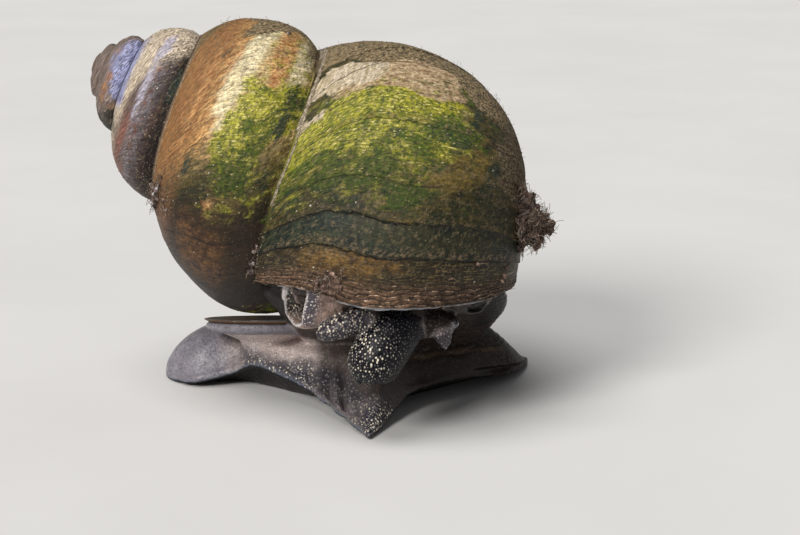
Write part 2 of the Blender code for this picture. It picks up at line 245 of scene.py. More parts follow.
def coverParts(name, parts, voxel):    # joins closed parts, and draws one skin over them all
    bm = bmesh.new()
    for part in parts:
        bm.from_mesh(part.data)
        bpy.data.objects.remove(part)
    obj = newMesh(name, [], [])
    bm.to_mesh(obj.data)
    bm.free()
    applyModifier(obj, "REMESH", mode="VOXEL", voxel_size=voxel * mm, adaptivity=0.0)
    faceOut(obj)
    return obj


def setFloats(obj, name, values):
    attribute = obj.data.attributes.get(name) or obj.data.attributes.new(name, "FLOAT", "POINT")
    attribute.data.foreach_set("value", np.asarray(values, np.float32))


def getPoints(obj):
    points = np.zeros(len(obj.data.vertices) * 3, np.float32)
    obj.data.vertices.foreach_get("co", points)
    return points.reshape(-1, 3).astype(float)


def setPoints(obj, points):
    obj.data.vertices.foreach_set("co", points.astype(np.float32).ravel())
    obj.data.update()


def getNormals(obj):
    normals = np.zeros(len(obj.data.vertices) * 3, np.float32)
    obj.data.vertex_normals.foreach_get("vector", normals)
    return normals.reshape(-1, 3).astype(float)


# The shell: a section that turns about an axis and grows, whorl after whorl
shellSizes = {
    "apex": (-29.95, 4.93, 32.57),
    "dip": 29.5,             # how far the axis runs down, in degrees
    "lean": 14.0,            # how far its plane leans back
    "lipHeight": 13.0,
    "archRise": 1.3,         # beside its corner the lip arches up
    "archPlace": -9.2,
    "archWidth": 3.8,
    "archFull": -9.0,
    "archNone": -4.0,
    "wall": 0.65,
    "lipThickness": 0.32,
    "lipWaves": 0.22,
    "core": 0.3,            # where a section's centre lies, as a share of its widest radius
    "baseFlat": 0.7,        # depth of a section's base as a share of its top's
    "baseFull": 0.88,
    "firstTurn": -5,
    "steps": 200,
    "strip": 36,
    "baseColumns": 22,
    "tubeColumns": 110,
    "tubeRows": 210,
    "columella": 1.0,        # radius of the pillar round the axis, and where it begins and ends
    "columellaSpan": (22.0, 46.0),
    "tip": 0.8,
    "leafHeight": 0.19,
    "leafSpacing": 0.46,
    # heaps of silt: place, reach and strength
    "crumbHeaps": ((-5.6, -15.6, 15.3, 0.75, 1.0), (-4.9, -15.9, 16.2, 0.6, 0.8),
        (-6.6, -15.2, 14.9, 0.5, 0.5), (2.7, -16.0, 14.8, 0.45, 0.8), (1.6, -16.1, 15.4, 0.3, 0.6),
        (4.4, -15.9, 15.7, 0.3, 0.6), (-22.4, -5.0, 21.5, 1.3, 0.9), (-21.6, -6.2, 20.2, 1.1, 0.9),
        (-11.2, 3.5, 36.0, 0.5, 0.6), (-6.2, -13.0, 26.0, 0.3, 0.5), (9.8, -11.5, 15.0, 0.5, 0.9),
        (-17.0, -9.5, 24.0, 0.4, 0.5)),
}
# Turn, the suture's place along the axis and its radius, the widest place's, all from the apex
whorlTable = np.array([
    [-5.0, 0.86, 0.29, 1.1, 0.8],
    [-4.0, 1.16, 1.2, 1.86, 2.25],
    [-3.0, 2.0, 2.45, 3.72, 3.98],
    [-2.0, 4.03, 3.72, 7.97, 6.91],
    [-1.0, 8.54, 7.01, 16.26, 11.9],
    [0.0, 19.39, 11.57, 30.72, 16.46],
    [0.5, 26.11, 13.25, 36.67, 17.66],
])
# Stops in the shell's growth: how far back from the lip, and how high the older edge stands
growthStops = [
    {"back": 5.1, "step": 0.12, "older": 0.6, "newer": 0.35},
    {"back": 8.4, "step": 0.1, "older": 0.7, "newer": 0.4},
    {"back": 15.5, "step": 0.05, "older": 0.6, "newer": 0.4},
    {"back": 18.5, "step": 0.05, "older": 0.6, "newer": 0.4},
    {"back": 22.0, "step": 0.05, "older": 0.6, "newer": 0.4},
    {"back": 31.0, "step": 0.1, "older": 0.7, "newer": 0.5},
    {"back": 47.0, "step": 0.12, "older": 0.7, "newer": 0.5},
    {"back": 68.0, "step": 0.1, "older": 0.7, "newer": 0.5},
    {"back": 97.5, "step": 0.06, "older": 0.6, "newer": 0.4},
    {"back": 101.0, "step": 0.04, "older": 0.5, "newer": 0.4},
]


def whorlSizes(turn):
    return [np.exp(smoothCurve(whorlTable[:, 0], np.log(whorlTable[:, k]), turn)) for k in range(1, 5)]


def sectionSizes(turn):
    # the widest place along the axis, the suture's radius, and the section's centre, half width and depths
    sutureAlong, sutureOut, wideAlong, wideOut = whorlSizes(turn)
    centre = shellSizes["core"] * wideOut
    half = wideOut - centre
    top = (wideAlong - sutureAlong) / np.sqrt(1 - ((sutureOut - centre) / half) ** 2)
    fullness = shellSizes["baseFull"] - shellSizes["baseFlat"]
    base = top * (shellSizes["baseFlat"] + fullness * ease(-0.45, -0.05, turn))
    return wideAlong, sutureOut, centre, half, top, base


def sectionOutline(turn, angle, lift):
    # place along the axis and distance from it; angle 0 is the widest place, + is towards the apex
    wideAlong, _, centre, half, top, base = sectionSizes(turn)
    depth = np.where(angle > 0, top, base) + lift
    return wideAlong - depth * np.sin(angle), centre + (half + lift) * np.cos(angle)


def outlineAngle(turn, radius):
    centre, half = sectionSizes(turn)[2:4]
    return np.arccos(np.clip((radius - centre) / half, -1, 1))


def shellAxes():
    dip, lean = math.radians(shellSizes["dip"]), math.radians(shellSizes["lean"])
    along = np.array([math.cos(dip), -math.sin(dip) * math.sin(lean), -math.sin(dip) * math.cos(lean)])
    top = np.array([math.sin(dip), math.cos(dip) * math.sin(lean), math.cos(dip) * math.cos(lean)])
    near = np.array([0.0, -math.cos(lean), math.sin(lean)])
    return along, top, near


def coilPoints(turn, along, out):
    alongAxis, topAxis, nearAxis = shellAxes()
    way = 2 * math.pi * np.asarray(turn, float)
    sideways = np.cos(way)[..., None] * topAxis + np.sin(way)[..., None] * nearAxis
    return shellSizes["apex"] + np.asarray(along)[..., None] * alongAxis + np.asarray(out)[...,
        None] * sideways


def lipHeightAt(points):
    arch = bell(points[..., 0], shellSizes["archPlace"], shellSizes["archWidth"])
    share = fade(shellSizes["archFull"], shellSizes["archNone"], points[..., 1])
    return shellSizes["lipHeight"] + shellSizes["archRise"] * arch * share


def findLip():
    # for each angle of the section, the turn at which the last whorl meets the lip
    angles = np.linspace(-2.6, 2.6, 261)
    turns = np.linspace(0.15, 0.8, 400)
    grid = np.array(np.meshgrid(turns, angles, indexing="ij"))
    points = coilPoints(grid[0], *sectionOutline(grid[0], grid[1], 0.0))
    below = points[..., 2] < lipHeightAt(points)
    found = np.where(below.any(axis=0), turns[np.argmax(below, axis=0)], 0.6)
    return angles, np.convolve(np.pad(found, 4, mode="edge"), np.ones(9) / 9, mode="valid")


lipAngles, lipTurns = findLip()
arcTurns = np.linspace(-5.0, 0.85, 1200)
arcLengths = np.cumsum(2 * math.pi * whorlSizes(np.minimum(arcTurns, 0.7))[3]) * (arcTurns[1] - arcTurns[0])


def growthAt(turn, angle):
    # how far back from the lip a place lies, measured round the widest place, in millimetres
    lipTurn = np.interp(angle, lipAngles, lipTurns)
    return np.interp(lipTurn, arcTurns, arcLengths) - np.interp(turn, arcTurns, arcLengths)


def wobbleAt(growth, around):    # how far the growth stops stray from straight lines
    places = np.stack([growth, around, 0 * growth], -1).reshape(-1, 3)
    stray = 0.13 * softNoise(places, 4.5, 14) + 0.09 * softNoise(places, 1.1, 17)
    return stray.reshape(np.shape(growth))


def shellRelief(turn, angle):
    # how far the surface stands out of the smooth form, in millimetres
    growth = growthAt(turn, angle)
    wideOut = whorlSizes(turn)[3]
    scale = np.clip(wideOut / 16.0, 0.15, 1.0)
    around = angle * wideOut
    flat = np.zeros_like(growth)
    rings = np.stack([growth, 0.1 * around, flat], -1).reshape(-1, 3)
    lumps = np.stack([growth, around, flat], -1).reshape(-1, 3)
    shape = growth.shape
    relief = 0.085 * softNoise(lumps, 6.5, 11).reshape(shape)
    relief += 0.05 * softNoise(rings, 2.1, 12).reshape(shape) + 0.035 * softNoise(rings, 0.8,
        13).reshape(shape)
    wobble = wobbleAt(growth, around)
    for stop in growthStops:
        past = growth - stop["back"] - wobble
        older = np.exp(-np.abs(past) / stop["older"]) * (past >= 0)
        newer = -0.8 * np.exp(-np.abs(past) / stop["newer"]) * (past < 0)
        relief += stop["step"] * (older + newer)
    # the thin leaves of the newest growth, behind the lip
    leaves = shellSizes["leafHeight"] * fade(1.9, 3.6, growth + wobble) * (growth > -0.5)
    saw = np.mod((growth + 2.5 * wobble) / shellSizes["leafSpacing"], 1.0)
    relief += leaves * (saw**2 - 0.3) * (0.6 + 0.4 * softNoise(rings * (1, 4, 1), 1.1, 15).reshape(shape))
    # the worn tip
    worn = ease(-1.9, -3.0, turn)
    relief -= worn * 0.16 * np.clip(softNoise(lumps, 1.3, 16).reshape(shape) + 0.1, 0, 1)
    return relief * np.where(turn < -1.5, 0.5 + 0.5 * scale, scale)


def coilMesh(name, turn, along, out, faces):
    # the points' places in the section are stored, and the tree winds them round the axis
    obj = newMesh(name, np.zeros((len(turn), 3)), faces)
    for label, values in (("turn", turn), ("along", along), ("out", out)):
        setFloats(obj, label, values)
    dip, lean = math.radians(shellSizes["dip"]), math.radians(shellSizes["lean"])
    apex = [float(value) for value in toRow(shellSizes["apex"])]
    runTree(obj, coilTree, {"Apex": apex, "Dip": dip, "Lean": lean, "Material": shellMaterial})
    faceOut(obj)
    return obj


def makeCoilTree():
    tree, given, end = newShapeTree("coilShell", [
        ("Apex", "Vector", None), ("Dip", "Float", 0.5), ("Lean", "Float", 0.2),
        ("Millimetre", "Float", mm)])
    way = times(readAttribute(tree, "turn"), 2 * math.pi)
    out, along = (times(readAttribute(tree, name), given["Millimetre"]) for name in ("out", "along"))
    nearward, upward = times(out, calc("SINE", way), -1.0), times(out, calc("COSINE", way))
    place = addNode(tree, "ShaderNodeCombineXYZ", X=along, Y=nearward, Z=upward).outputs[0]
    for axis, angle in (("Y_AXIS", given["Dip"]), ("X_AXIS", times(given["Lean"], -1.0))):
        place = addNode(tree, "ShaderNodeVectorRotate", {"rotation_type": axis}, Vector=place,
            Angle=angle).outputs[0]
    moved = addNode(tree, "ShaderNodeVectorMath", {"operation": "ADD"}, _0=place, _1=given["Apex"])
    placed = addNode(tree, "GeometryNodeSetPosition", Geometry=given["Geometry"], Position=moved.outputs[0])
    return finishTree(given, end, placed.outputs[0])


def makeSpire():
    # the whorls up to turn 0 as one solid: a strip from suture to suture, then the base
    steps, strip, base = (shellSizes[key] for key in ("steps", "strip", "baseColumns"))
    last = -shellSizes["firstTurn"] * steps
    openRow = last - steps
    turns = shellSizes["firstTurn"] + np.arange(last + 1) / steps
    nextAlong, nextOut = whorlSizes(np.minimum(turns + 1, 0.5))[:2]
    starts = outlineAngle(turns, whorlSizes(turns)[1])
    # where the next whorl's suture meets each section
    tries = np.linspace(0, -1.4, 120)
    grid = np.meshgrid(turns, tries, indexing="ij")
    alongs, outs = sectionOutline(grid[0], grid[1], 0.0)
    nearest = np.argmin(np.hypot(alongs - nextAlong[:, None], outs - nextOut[:, None]), axis=1)
    stops = np.where(turns + 1 <= 0.5, tries[nearest], -0.35)
    stops = np.convolve(np.pad(stops, 6, mode="edge"), np.ones(13) / 13, mode="valid")
    share = np.linspace(0, 1, strip + 1)
    angles = starts[:, None] + (stops - starts)[:, None] * share
    wholeTurns = np.repeat(turns[:, None], strip + 1, axis=1)
    settled = ease(0, 0.08, share) * fade(0.95, 1, share)    # no relief in the sutures
    lift = shellRelief(wholeTurns, angles) * settled
    stripAlong, stripOut = sectionOutline(wholeTurns, angles, lift)
    covered = turns <= turns[openRow] + 1e-9
    stripAlong[covered, -1], stripOut[covered, -1] = nextAlong[covered], nextOut[covered]

    turn, along, out, index = [], [], [], {}

    def addPoint(key, *values):
        index[key] = len(turn)
        for store, value in zip((turn, along, out), values):
            store.append(float(value))

    for i in range(last + 1):
        for j in range(strip + 1):
            if j == 0 and i >= steps:
                index[i, 0] = index[i - steps, strip]
            else:
                addPoint((i, j), turns[i], stripAlong[i, j], stripOut[i, j])
        if i < openRow:
            continue
        end = -float(outlineAngle(turns[i], 0.0))
        for j in range(1, base + 1):
            a, r = sectionOutline(turns[i], stops[i] + (end - stops[i]) * j / base, 0.0)
            addPoint((i, strip + j), turns[i], a, 0.0 if j == base else r)
    addPoint("tip", shellSizes["firstTurn"], shellSizes["tip"], 0.0)
    faces = []
    for i in range(last):
        for j in range(strip if i < openRow else strip + base):
            faces.append((index[i, j], index[i, j + 1], index[i + 1, j + 1], index[i + 1, j]))
    faces += [(index["tip"], index[i, 0], index[i + 1, 0]) for i in range(steps)]
    faces += [(index["tip"], index[0, j + 1], index[0, j]) for j in range(strip)]
    endFace = [index[last, j] for j in range(strip + base + 1)]
    endFace += [index[i, strip + base] for i in range(last - 1, openRow - 1, -1)]
    endFace += [index[openRow, strip + j] for j in range(base - 1, 0, -1)]
    faces.append(tuple(endFace))
    return coilMesh("spire", turn, along, out, faces)


def loftFaces(rows, columns):    # closed rings one after another, with a face at each end
    faces = [tuple(range(columns)), tuple(range((rows - 1) * columns, rows * columns))]
    for i in range(rows - 1):
        for j in range(columns):
            k = (j + 1) % columns
            low, high = i * columns, (i + 1) * columns
            faces.append((low + j, low + k, high + k, high + j))
    return faces


def steady(values):    # rows of a tube that stay the same round the section
    return [lambda *places, value=value: value + 0 * places[-1] for value in values]


def makeTube(name, turnRows, liftRows, hole, detailed=False):
    # a length of the last whorl as a closed tube; each row gives its turns and lifts by angle
    columns = shellSizes["tubeColumns"]
    turn, along, out = [], [], []
    for turnAt, liftAt in zip(turnRows, liftRows):
        middle = float(turnAt(0.0))
        centre, half = sectionSizes(middle)[2:4]
        end = math.acos((hole - centre) / (half + float(liftAt(middle, 0.0))))
        angles = np.linspace(end, -end, columns)
        turns = turnAt(angles)
        lifts = liftAt(turns, angles)
        if detailed:
            lifts = lifts + shellRelief(turns, angles) * ease(-0.01, 0.0, middle)
        a, r = sectionOutline(turns, angles, lifts)
        turn += list(turns)
        along += list(a)
        out += list(np.maximum(r, hole * 0.8))
    return coilMesh(name, turn, along, out, loftFaces(len(turnRows), columns))


def makeLastWhorl():
    rows = shellSizes["tubeRows"]

    def reach(angles):    # a little past the lip
        return np.clip(np.interp(angles, lipAngles, lipTurns) + 0.014, 0.24, 0.56)

    def wall(turns, angles):    # the shell thins towards its lip
        thin, full = shellSizes["lipThickness"], shellSizes["wall"]
        return -(thin + (full - thin) * ease(0.2, 3.0, growthAt(turns, angles)))

    shares = 1 - (1 - np.linspace(0, 1, rows)) ** 1.6    # rows stand closer towards the lip
    turnRows = steady([-0.1, -0.004]) + [lambda angles, s=s: s * reach(angles) for s in shares]
    turnRows += [lambda angles, s=s: reach(angles) + (0.66 - reach(angles)) * s for s in (0.35, 0.7, 1.0)]
    turnRows += steady([0.69, 0.73, 0.77])
    lifts = steady([-0.8, -0.05] + [0.003] * rows + [0.0, -0.1, -0.3, -1.2, -2.6, -4.5])
    outer = makeTube("lastWhorl", turnRows, lifts, 0.5, True)
    innerTurns = steady([0.22, 0.25] + [k / 64 for k in range(18, 41)] + [0.65, 0.68])
    hollow = makeTube("hollow", innerTurns, steady([-1.6, -0.9]) + [wall] * 23 + steady([-1.4, -2.6]), 1.2)
    return outer, hollow


def makeLipCutter():
    # everything under the lip, whose edge is a little uneven
    places = np.linspace(-25, 25, 126)
    x, y = np.meshgrid(places, places, indexing="ij")
    flat = np.stack([x, y, 0 * x], -1)
    top = lipHeightAt(flat).ravel() + shellSizes["lipWaves"] * softNoise(flat.reshape(-1, 3), 1.7, 21)
    top += 0.4 * shellSizes["lipWaves"] * softNoise(flat.reshape(-1, 3), 0.6, 22)
    count = len(places)
    points = np.concatenate([np.stack([x.ravel(), y.ravel(), top], -1),
                             np.stack([x.ravel(), y.ravel(), 0 * top - 40], -1)])
    faces = []
    for i in range(count - 1):
        for j in range(count - 1):
            a, b = i * count + j, (i + 1) * count + j
            faces.append((a, b, b + 1, a + 1))
            faces.append(tuple(v + count * count for v in (a, a + 1, b + 1, b)))
    rim = [i * count for i in range(count)] + [(count - 1) * count + j for j in range(1, count)]
    rim += [i * count + count - 1 for i in range(count - 2, -1, -1)] + list(range(count - 2, 0, -1))
    for a, b in zip(rim, rim[1:] + rim[:1]):
        faces.append((a, b, b + count * count, a + count * count))
    return newSolid("underLip", points, faces)


def combine(obj, others, operation):
    for other in others:
        applyModifier(obj, "BOOLEAN", operation=operation, solver="MANIFOLD", object=other)
        bpy.data.objects.remove(other)


def locate(points):
    # the turn and the section's angle of points on the shell, and how far outside the form they lie
    alongAxis, topAxis, nearAxis = shellAxes()
    offset = points - shellSizes["apex"]
    along, up, near = offset @ alongAxis, offset @ topAxis, offset @ nearAxis
    out = np.hypot(up, near)
    part = np.mod(np.arctan2(near, up) / (2 * math.pi), 1.0)
    best = np.full(len(points), 1e9)
    turn, angle, off = np.zeros((3, len(points)))
    for whorl in range(shellSizes["firstTurn"], 1):
        tried = part + whorl
        held = np.clip(tried, -5, 0.62)
        wideAlong, sutureOut, centre, half, top, base = sectionSizes(held)
        rise = wideAlong - along
        upright, sideways = rise / np.where(rise > 0, top, base), (out - centre) / half
        a, size = np.arctan2(upright, sideways), np.hypot(upright, sideways) - 1
        miss = np.abs(size) * half + 50.0 * (tried > 0.66) + 0.5 * (a > outlineAngle(held,
            sutureOut) + 0.25)
        better = miss < best
        best, turn, angle, off = (np.where(better, new, old) for new, old in (
            (miss, best), (held, turn), (a, angle), (size * half, off)))
    return turn, angle, off


def makeShell():
    shell = makeSpire()
    outer, hollow = makeLastWhorl()
    count, (begin, end) = 24, shellSizes["columellaSpan"]
    columella = coilMesh("columella", list(np.linspace(0, 1, count, endpoint=False)) * 2,
                         [begin] * count + [end] * count, [shellSizes["columella"]] * 2 * count,
                         loftFaces(2, count))
    combine(outer, [columella], "UNION")
    combine(outer, [makeLipCutter(), hollow], "DIFFERENCE")
    combine(shell, [outer], "UNION")
    return shell


# Where the shell's colours lie: growth and angle of each patch, its reach in both, and its strength
shellPatches = {
    "tan": [(23.4, 0.2, 2.2, 0.26, 1.0), (24.5, 0.45, 2.4, 0.3, 0.9), (26.0, 0.22, 1.8, 0.3, 0.8),
        (20.0, -0.08, 3.0, 0.14, 0.55), (12.3, 0.92, 1.3, 0.08, 0.9), (14.6, 0.86, 0.8, 0.1, 0.8),
        (17.5, 0.55, 2.0, 0.25, 0.35), (13.5, 0.1, 1.5, 0.3, 0.3)],
    "gold": [(13.5, -0.2, 3.0, 0.22, 1.0), (11.0, 0.1, 2.0, 0.3, 0.6), (3.9, 0.2, 1.4, 0.35, 1.0),
        (17.0, -0.4, 4.0, 0.2, 0.6), (98.5, 0.1, 3.0, 0.3, 0.6)],
    "dark": [(106.4, -0.26, 1.8, 0.09, 0.9), (103.6, 0.56, 1.4, 0.045, 0.9),
        (172.0, -0.12, 2.0, 0.12, 0.9), (117.0, 0.62, 0.8, 0.045, 0.6), (94.0, -0.62, 3.2, 0.12, 0.6),
        (200.0, 0.2, 3.0, 0.3, 0.8), (28.5, 0.95, 1.5, 0.04, 0.5), (24.5, 0.96, 1.2, 0.04, 0.5),
        (19.8, 0.97, 1.4, 0.06, 0.8), (16.8, 0.95, 1.0, 0.06, 0.7), (22.8, 0.5, 0.5, 0.1, 0.5),
        (21.0, -0.28, 2.5, 0.1, 0.6), (10.6, 0.75, 1.0, 0.12, 0.5), (15.0, -0.55, 3.0, 0.08, 0.5)],
    "cream": [(119.5, 0.25, 2.2, 0.1, 1.0), (116.0, 0.33, 3.2, 0.11, 1.1), (111.0, 0.38, 3.0, 0.12, 1.1),
        (106.6, 0.36, 1.6, 0.1, 0.45), (114.5, -0.25, 4.8, 0.13, 1.4), (109.0, 0.12, 2.0, 0.08, 0.3)],
    "rust": [(118.0, 0.03, 3.0, 0.11, 1.1), (114.5, 0.01, 3.0, 0.12, 1.1),
        (110.5, -0.03, 2.2, 0.11, 1.0), (115.5, 0.5, 3.4, 0.07, 1.0), (106.6, 0.12, 1.3, 0.05, 0.6),
        (104.8, 0.22, 1.0, 0.1, 0.5), (113.0, 0.7, 8.0, 0.05, 0.7), (104.0, 0.3, 1.4, 0.07, 0.5),
        (99.0, 0.22, 1.2, 0.05, 0.6), (212.0, 0.75, 3.0, 0.14, 0.8), (226.0, 0.4, 5.0, 0.4, 0.7)],
    "amber": [(93.5, 0.2, 3.4, 0.24, 1.0), (97.0, 0.45, 2.2, 0.1, 0.6), (90.5, 0.1, 2.5, 0.22, 0.8)],
    "lilac": [(178.5, 0.4, 2.2, 0.16, 0.8), (174.4, 0.46, 2.0, 0.12, 0.7),
        (171.0, 0.44, 2.4, 0.09, 0.45)],
}
# Patches on the worn tip, and painted shadow in the suture under it: place, reach and strength
shellSpots = {
    "tipLilac": ((-25.4, 1.0, 32.9, 1.5, 1.0), (-26.0, 0.0, 31.3, 1.3, 1.0),
        (-26.3, -0.9, 29.5, 1.1, 0.8), (-24.6, 2.4, 33.9, 1.2, 0.7)),
    "tipRust": ((-27.3, 0.3, 31.3, 0.55, 1.0), (-27.8, 0.4, 30.2, 0.5, 1.0),
        (-28.1, 0.6, 29.2, 0.5, 0.9), (-26.7, 1.6, 33.6, 0.6, 0.6), (-27.2, 0.0, 28.4, 0.5, 0.6)),
    "tipDark": ((-27.6, 2.6, 25.9, 1.6, 1.0), (-27.3, 0.4, 27.4, 0.9, 0.8), (-28.6, 2.5, 27.3, 1.0, 0.7),
        (-26.2, -0.6, 26.6, 0.9, 0.9)),
}


def ballAt(points, ball):    # a soft ball: place, reach and strength
    x, y, z, reach, strength = ball
    return strength * np.exp(-np.sum((points - (x, y, z)) ** 2, axis=1) / reach**2)


def patchMask(name, growth, angle):
    total = np.zeros_like(growth)
    for middle, turned, reach, spread, strength in shellPatches[name]:
        total += strength * np.exp(-((growth - middle) / reach) ** 2 - ((angle - turned) / spread) ** 2)
    return np.clip(total, 0, 1)


def markShell(obj):
    # stores what the shell's material reads: places along the growth, and masks for its patches
    points, normals = getPoints(obj) / mm - aimInRow, getNormals(obj)
    turn, angle, off = locate(points)
    growth = growthAt(turn, angle)
    around = angle * whorlSizes(turn)[3]
    places = np.stack([growth, around, 0 * growth], -1)
    sutureOut = whorlSizes(turn)[1]
    fromSuture = (outlineAngle(turn, sutureOut) - angle) * whorlSizes(turn)[3]
    lumps, patches = softNoise(places, 7.0, 31), softNoise(places * (1, 0.6, 1), 2.6, 32)
    wobble = wobbleAt(growth, around)
    front = between(growth, -2, 36, 4) + between(growth, 84, 128, 5)    # where the patches are known
    hidden = 1 - np.clip(front, 0, 1)
    strayed = growth + 1.5 * patches + 1.0 * softNoise(places, 1.2, 33) + 0.8 * lumps
    turned = angle + 0.1 * softNoise(places, 3.2, 34) + 0.05 * softNoise(places, 1.1, 35)
    siltFrom = 28.0 + 13 * np.clip(angle - 0.52, 0, 0.5) - 17 * np.clip(0.1 - angle, 0, 0.35)
    silt = 0.8 * between(0.4 * strayed + 0.6 * growth - siltFrom, 0, 12, 0.6)
    silt += 0.7 * fade(-0.75, -0.4, turned) * between(growth, 12, 60, 4)
    silt += hidden * (0.4 + 0.5 * lumps) + 0.7 * between(growth, 114, 130, 3) * fade(-0.5, 0.0, turned)
    silt += 0.7 * between(strayed, 119.6, 132, 1.0) * fade(0.36, 0.55, turned)
    silt += 0.2 * ease(0.3, 0.9, normals[:, 2]) * (growth > 29)
    moss = (0.44 + 0.16 * patches) * between(growth, 8.6, 11.5, 0.8) * ease(-0.75, -0.2, turned)
    thicker = 0.42 + 0.22 * patches + 0.18 * ease(0.0, 0.5, angle)
    moss += thicker * between(strayed, 11.3, 16.4, 1.0) * ease(-0.55, 0.05, turned)
    moss += (0.43 + 0.28 * patches) * between(strayed, 16.4, 20.5, 1.0) * ease(-0.65, 0.0, turned)
    moss += (0.24 + 0.3 * patches) * between(strayed, 20.5, 27.0, 1.2) * ease(-0.7, -0.1, turned)
    moss += 0.2 * between(strayed, 27.0, 40.0, 1.2) * ease(-0.2, 0.4, turned)
    moss += 0.34 * between(strayed, 14.0, 26.0, 1.5) * between(turned, -0.5, -0.12, 0.1) * (0.6 + patches)
    moss += (0.44 + 0.3 * patches) * between(strayed, 97.0, 104.5, 1.4) * fade(0.34, 0.58, turned)
    moss += (0.42 + 0.34 * patches) * between(strayed, 104.5, 111, 1.5) * fade(0.06, 0.36, turned)
    moss += 0.16 * between(growth, 106, 124, 3.0) * fade(0.55, 0.75, angle) + hidden * (0.3 + 0.5 * patches)
    lit = between(strayed, 15.4, 21.8, 1.2) * ease(-0.2, 0.2, turned) * (0.72 + 0.22 * patches)
    lit += 0.5 * between(strayed, 14.6, 22.0, 1.8) * ease(-0.5, -0.12, turned)
    lit += 0.26 * between(strayed, 21.8, 26.5, 1.5) * ease(0.0, 0.5, turned)
    lit += 0.38 * between(strayed, 9.5, 15.2, 1.0) * ease(-0.3, 0.3, turned)
    lit += (0.78 + 0.3 * patches) * between(strayed, 104.0, 110.5, 2.0) * fade(0.26, 0.5, turned)
    lit += 0.28 * between(growth, 97.0, 104.0, 2.0) * fade(0.15, 0.5, angle) + 0.3 * hidden
    lit += 0.3 * between(strayed, 110.0, 121.0, 2.0) * fade(-0.02, 0.5, turned)
    # a painted sheen: the pale highlight on the body, sheared along the growth
    leftward = np.clip((angle - 0.46) / 0.4, 0, 1)
    inner = growth + 0.5 * patches + 0.4 * softNoise(places, 0.9, 36)
    sheen = between(inner, 23.6 + 2.2 * leftward, 26.9 + 4.2 * leftward, 0.5)
    sheen *= ease(0.445, 0.475, angle + 0.1 * patches) * fade(0.84, 0.92, turned)
    sheen = np.maximum(sheen, 0.6 * between(strayed, 20.8, 23.4, 0.8) * between(turned, 0.78, 0.92, 0.03))
    moss *= 1 - 0.75 * sheen
    lit *= 1 - 0.7 * sheen
    teal = 1.5 * between(growth - wobble, 5.15, 8.4, 0.1) + 0.3 * between(growth, 8.5, 12.0, 1.0)
    teal += 0.4 * between(growth, 11, 24, 2) * fade(-0.4, -0.05, angle)
    crumbs = 0.55 * bell(fromSuture, 0, 0.22) * (turn > -1.3) * (0.6 + 0.6 * patches)
    crumbs += 1.3 * bell(fromSuture, 0, 0.32) * fade(5.0, 9.0, growth) * (turn > 0)
    crumbs += 0.14 * fade(0.3, 1.0, growth) * (turn > 0) + 0.05 * np.clip(silt, 0, 1)
    crumbs += 0.005 + 0.1 * between(growth, 5.1, 5.7, 0.15) * (0.5 + patches) * (turn > 0)
    fuzz = 0.5 * between(growth, 24, 60, 3) * ease(0.1, 0.5, lumps + 0.3)
    fuzz += 0.3 * fade(0.2, 1.2, growth) * (turn > 0)
    fuzz += 0.5 * between(growth, 112, 140, 5) * ease(0.0, 0.5, lumps + 0.2)
    for heap in shellSizes["crumbHeaps"]:
        crumbs += ballAt(points, heap)
        fuzz += 2.0 * ballAt(points, heap)
    spire = ease(-1.05, -1.35, turn)
    for name, spots in shellSpots.items():
        setFloats(obj, name, np.clip(sum(ballAt(points, spot) for spot in spots), 0, 1))
    shares = {
        "growth": growth, "around": around, "fromSuture": fromSuture, "angle": angle,
        "wobble": wobble, "spire": spire, "tip": ease(-2.15, -2.6, turn),
        "inside": ease(0.12, 0.22, -off) * (growth < 75) * (turn > -0.05),
        "crumbs": np.clip(crumbs, 0, 1) * (off > -0.2), "fuzz": np.clip(fuzz, 0, 1) * (off > -0.2),
        "silt": np.clip(silt * (1 - spire), 0, 1), "moss": np.clip(moss * (1 - spire), 0, 1),
        "lit": np.clip(lit * (1 - spire), 0, 1), "teal": np.clip(teal, 0, 1), "sheen": np.clip(sheen, 0, 1),
    }
    for name in shellPatches:
        shares[name] = patchMask(name, growth, angle)
    for name, values in shares.items():
        setFloats(obj, name, values)


# Materials. Effects that several finishes use are groups, and put out values alone
def newMaterial(name, roughness=0.5):
    material = bpy.data.materials.new(name)
    material.use_nodes = True
    tree = material.node_tree
    shader = tree.nodes["Principled BSDF"]
    shader.inputs["Roughness"].default_value = roughness
    return material, tree, shader


def rise(value, low, high):    # 0 at low, 1 at high
    return addNode(treeOf(value), "ShaderNodeMapRange", {"interpolation_type": "SMOOTHSTEP"},
                   Value=value, From_Min=low, From_Max=high).outputs[0]


def fall(value, low, high):    # 1 at low, 0 at high
    return lessOne(rise(value, low, high))


def near(value, middle, core, reach):    # 1 within core of the middle, 0 beyond reach
    return fall(calc("ABSOLUTE", calc("SUBTRACT", value, middle)), core, reach)


def noiseOf(vector, scale, detail=3.0, roughness=0.55):
    return addNode(treeOf(vector), "ShaderNodeTexNoise", Vector=vector, Scale=scale, Detail=detail,
                   Roughness=roughness).outputs["Fac"]


def stretch(vector, x, y, z):
    return addNode(treeOf(vector), "ShaderNodeVectorMath", {"operation": "MULTIPLY"},
                   _0=vector, _1=(x, y, z)).outputs[0]


def millimetres(tree):    # a piece's own places, in millimetres
    return stretch(addNode(tree, "ShaderNodeTexCoord").outputs["Object"], 1000, 1000, 1000)


def lay(under, over, mask):    # one colour over another, where the mask is 1
    under, over = (value if isinstance(value, bpy.types.NodeSocket) else (*value, 1.0) for value in (under,
        over))
    return addNode(treeOf(mask), "ShaderNodeMix", {"data_type": "RGBA"}, _0=mask, _6=under,
        _7=over).outputs[2]


def blend(first, last, value, low, high):    # from one colour to another as a value rises
    return lay(first, last, rise(value, low, high))


def pieceValue(tree, name):
    return addNode(tree, "ShaderNodeAttribute", {"attribute_name": name}).outputs["Fac"]


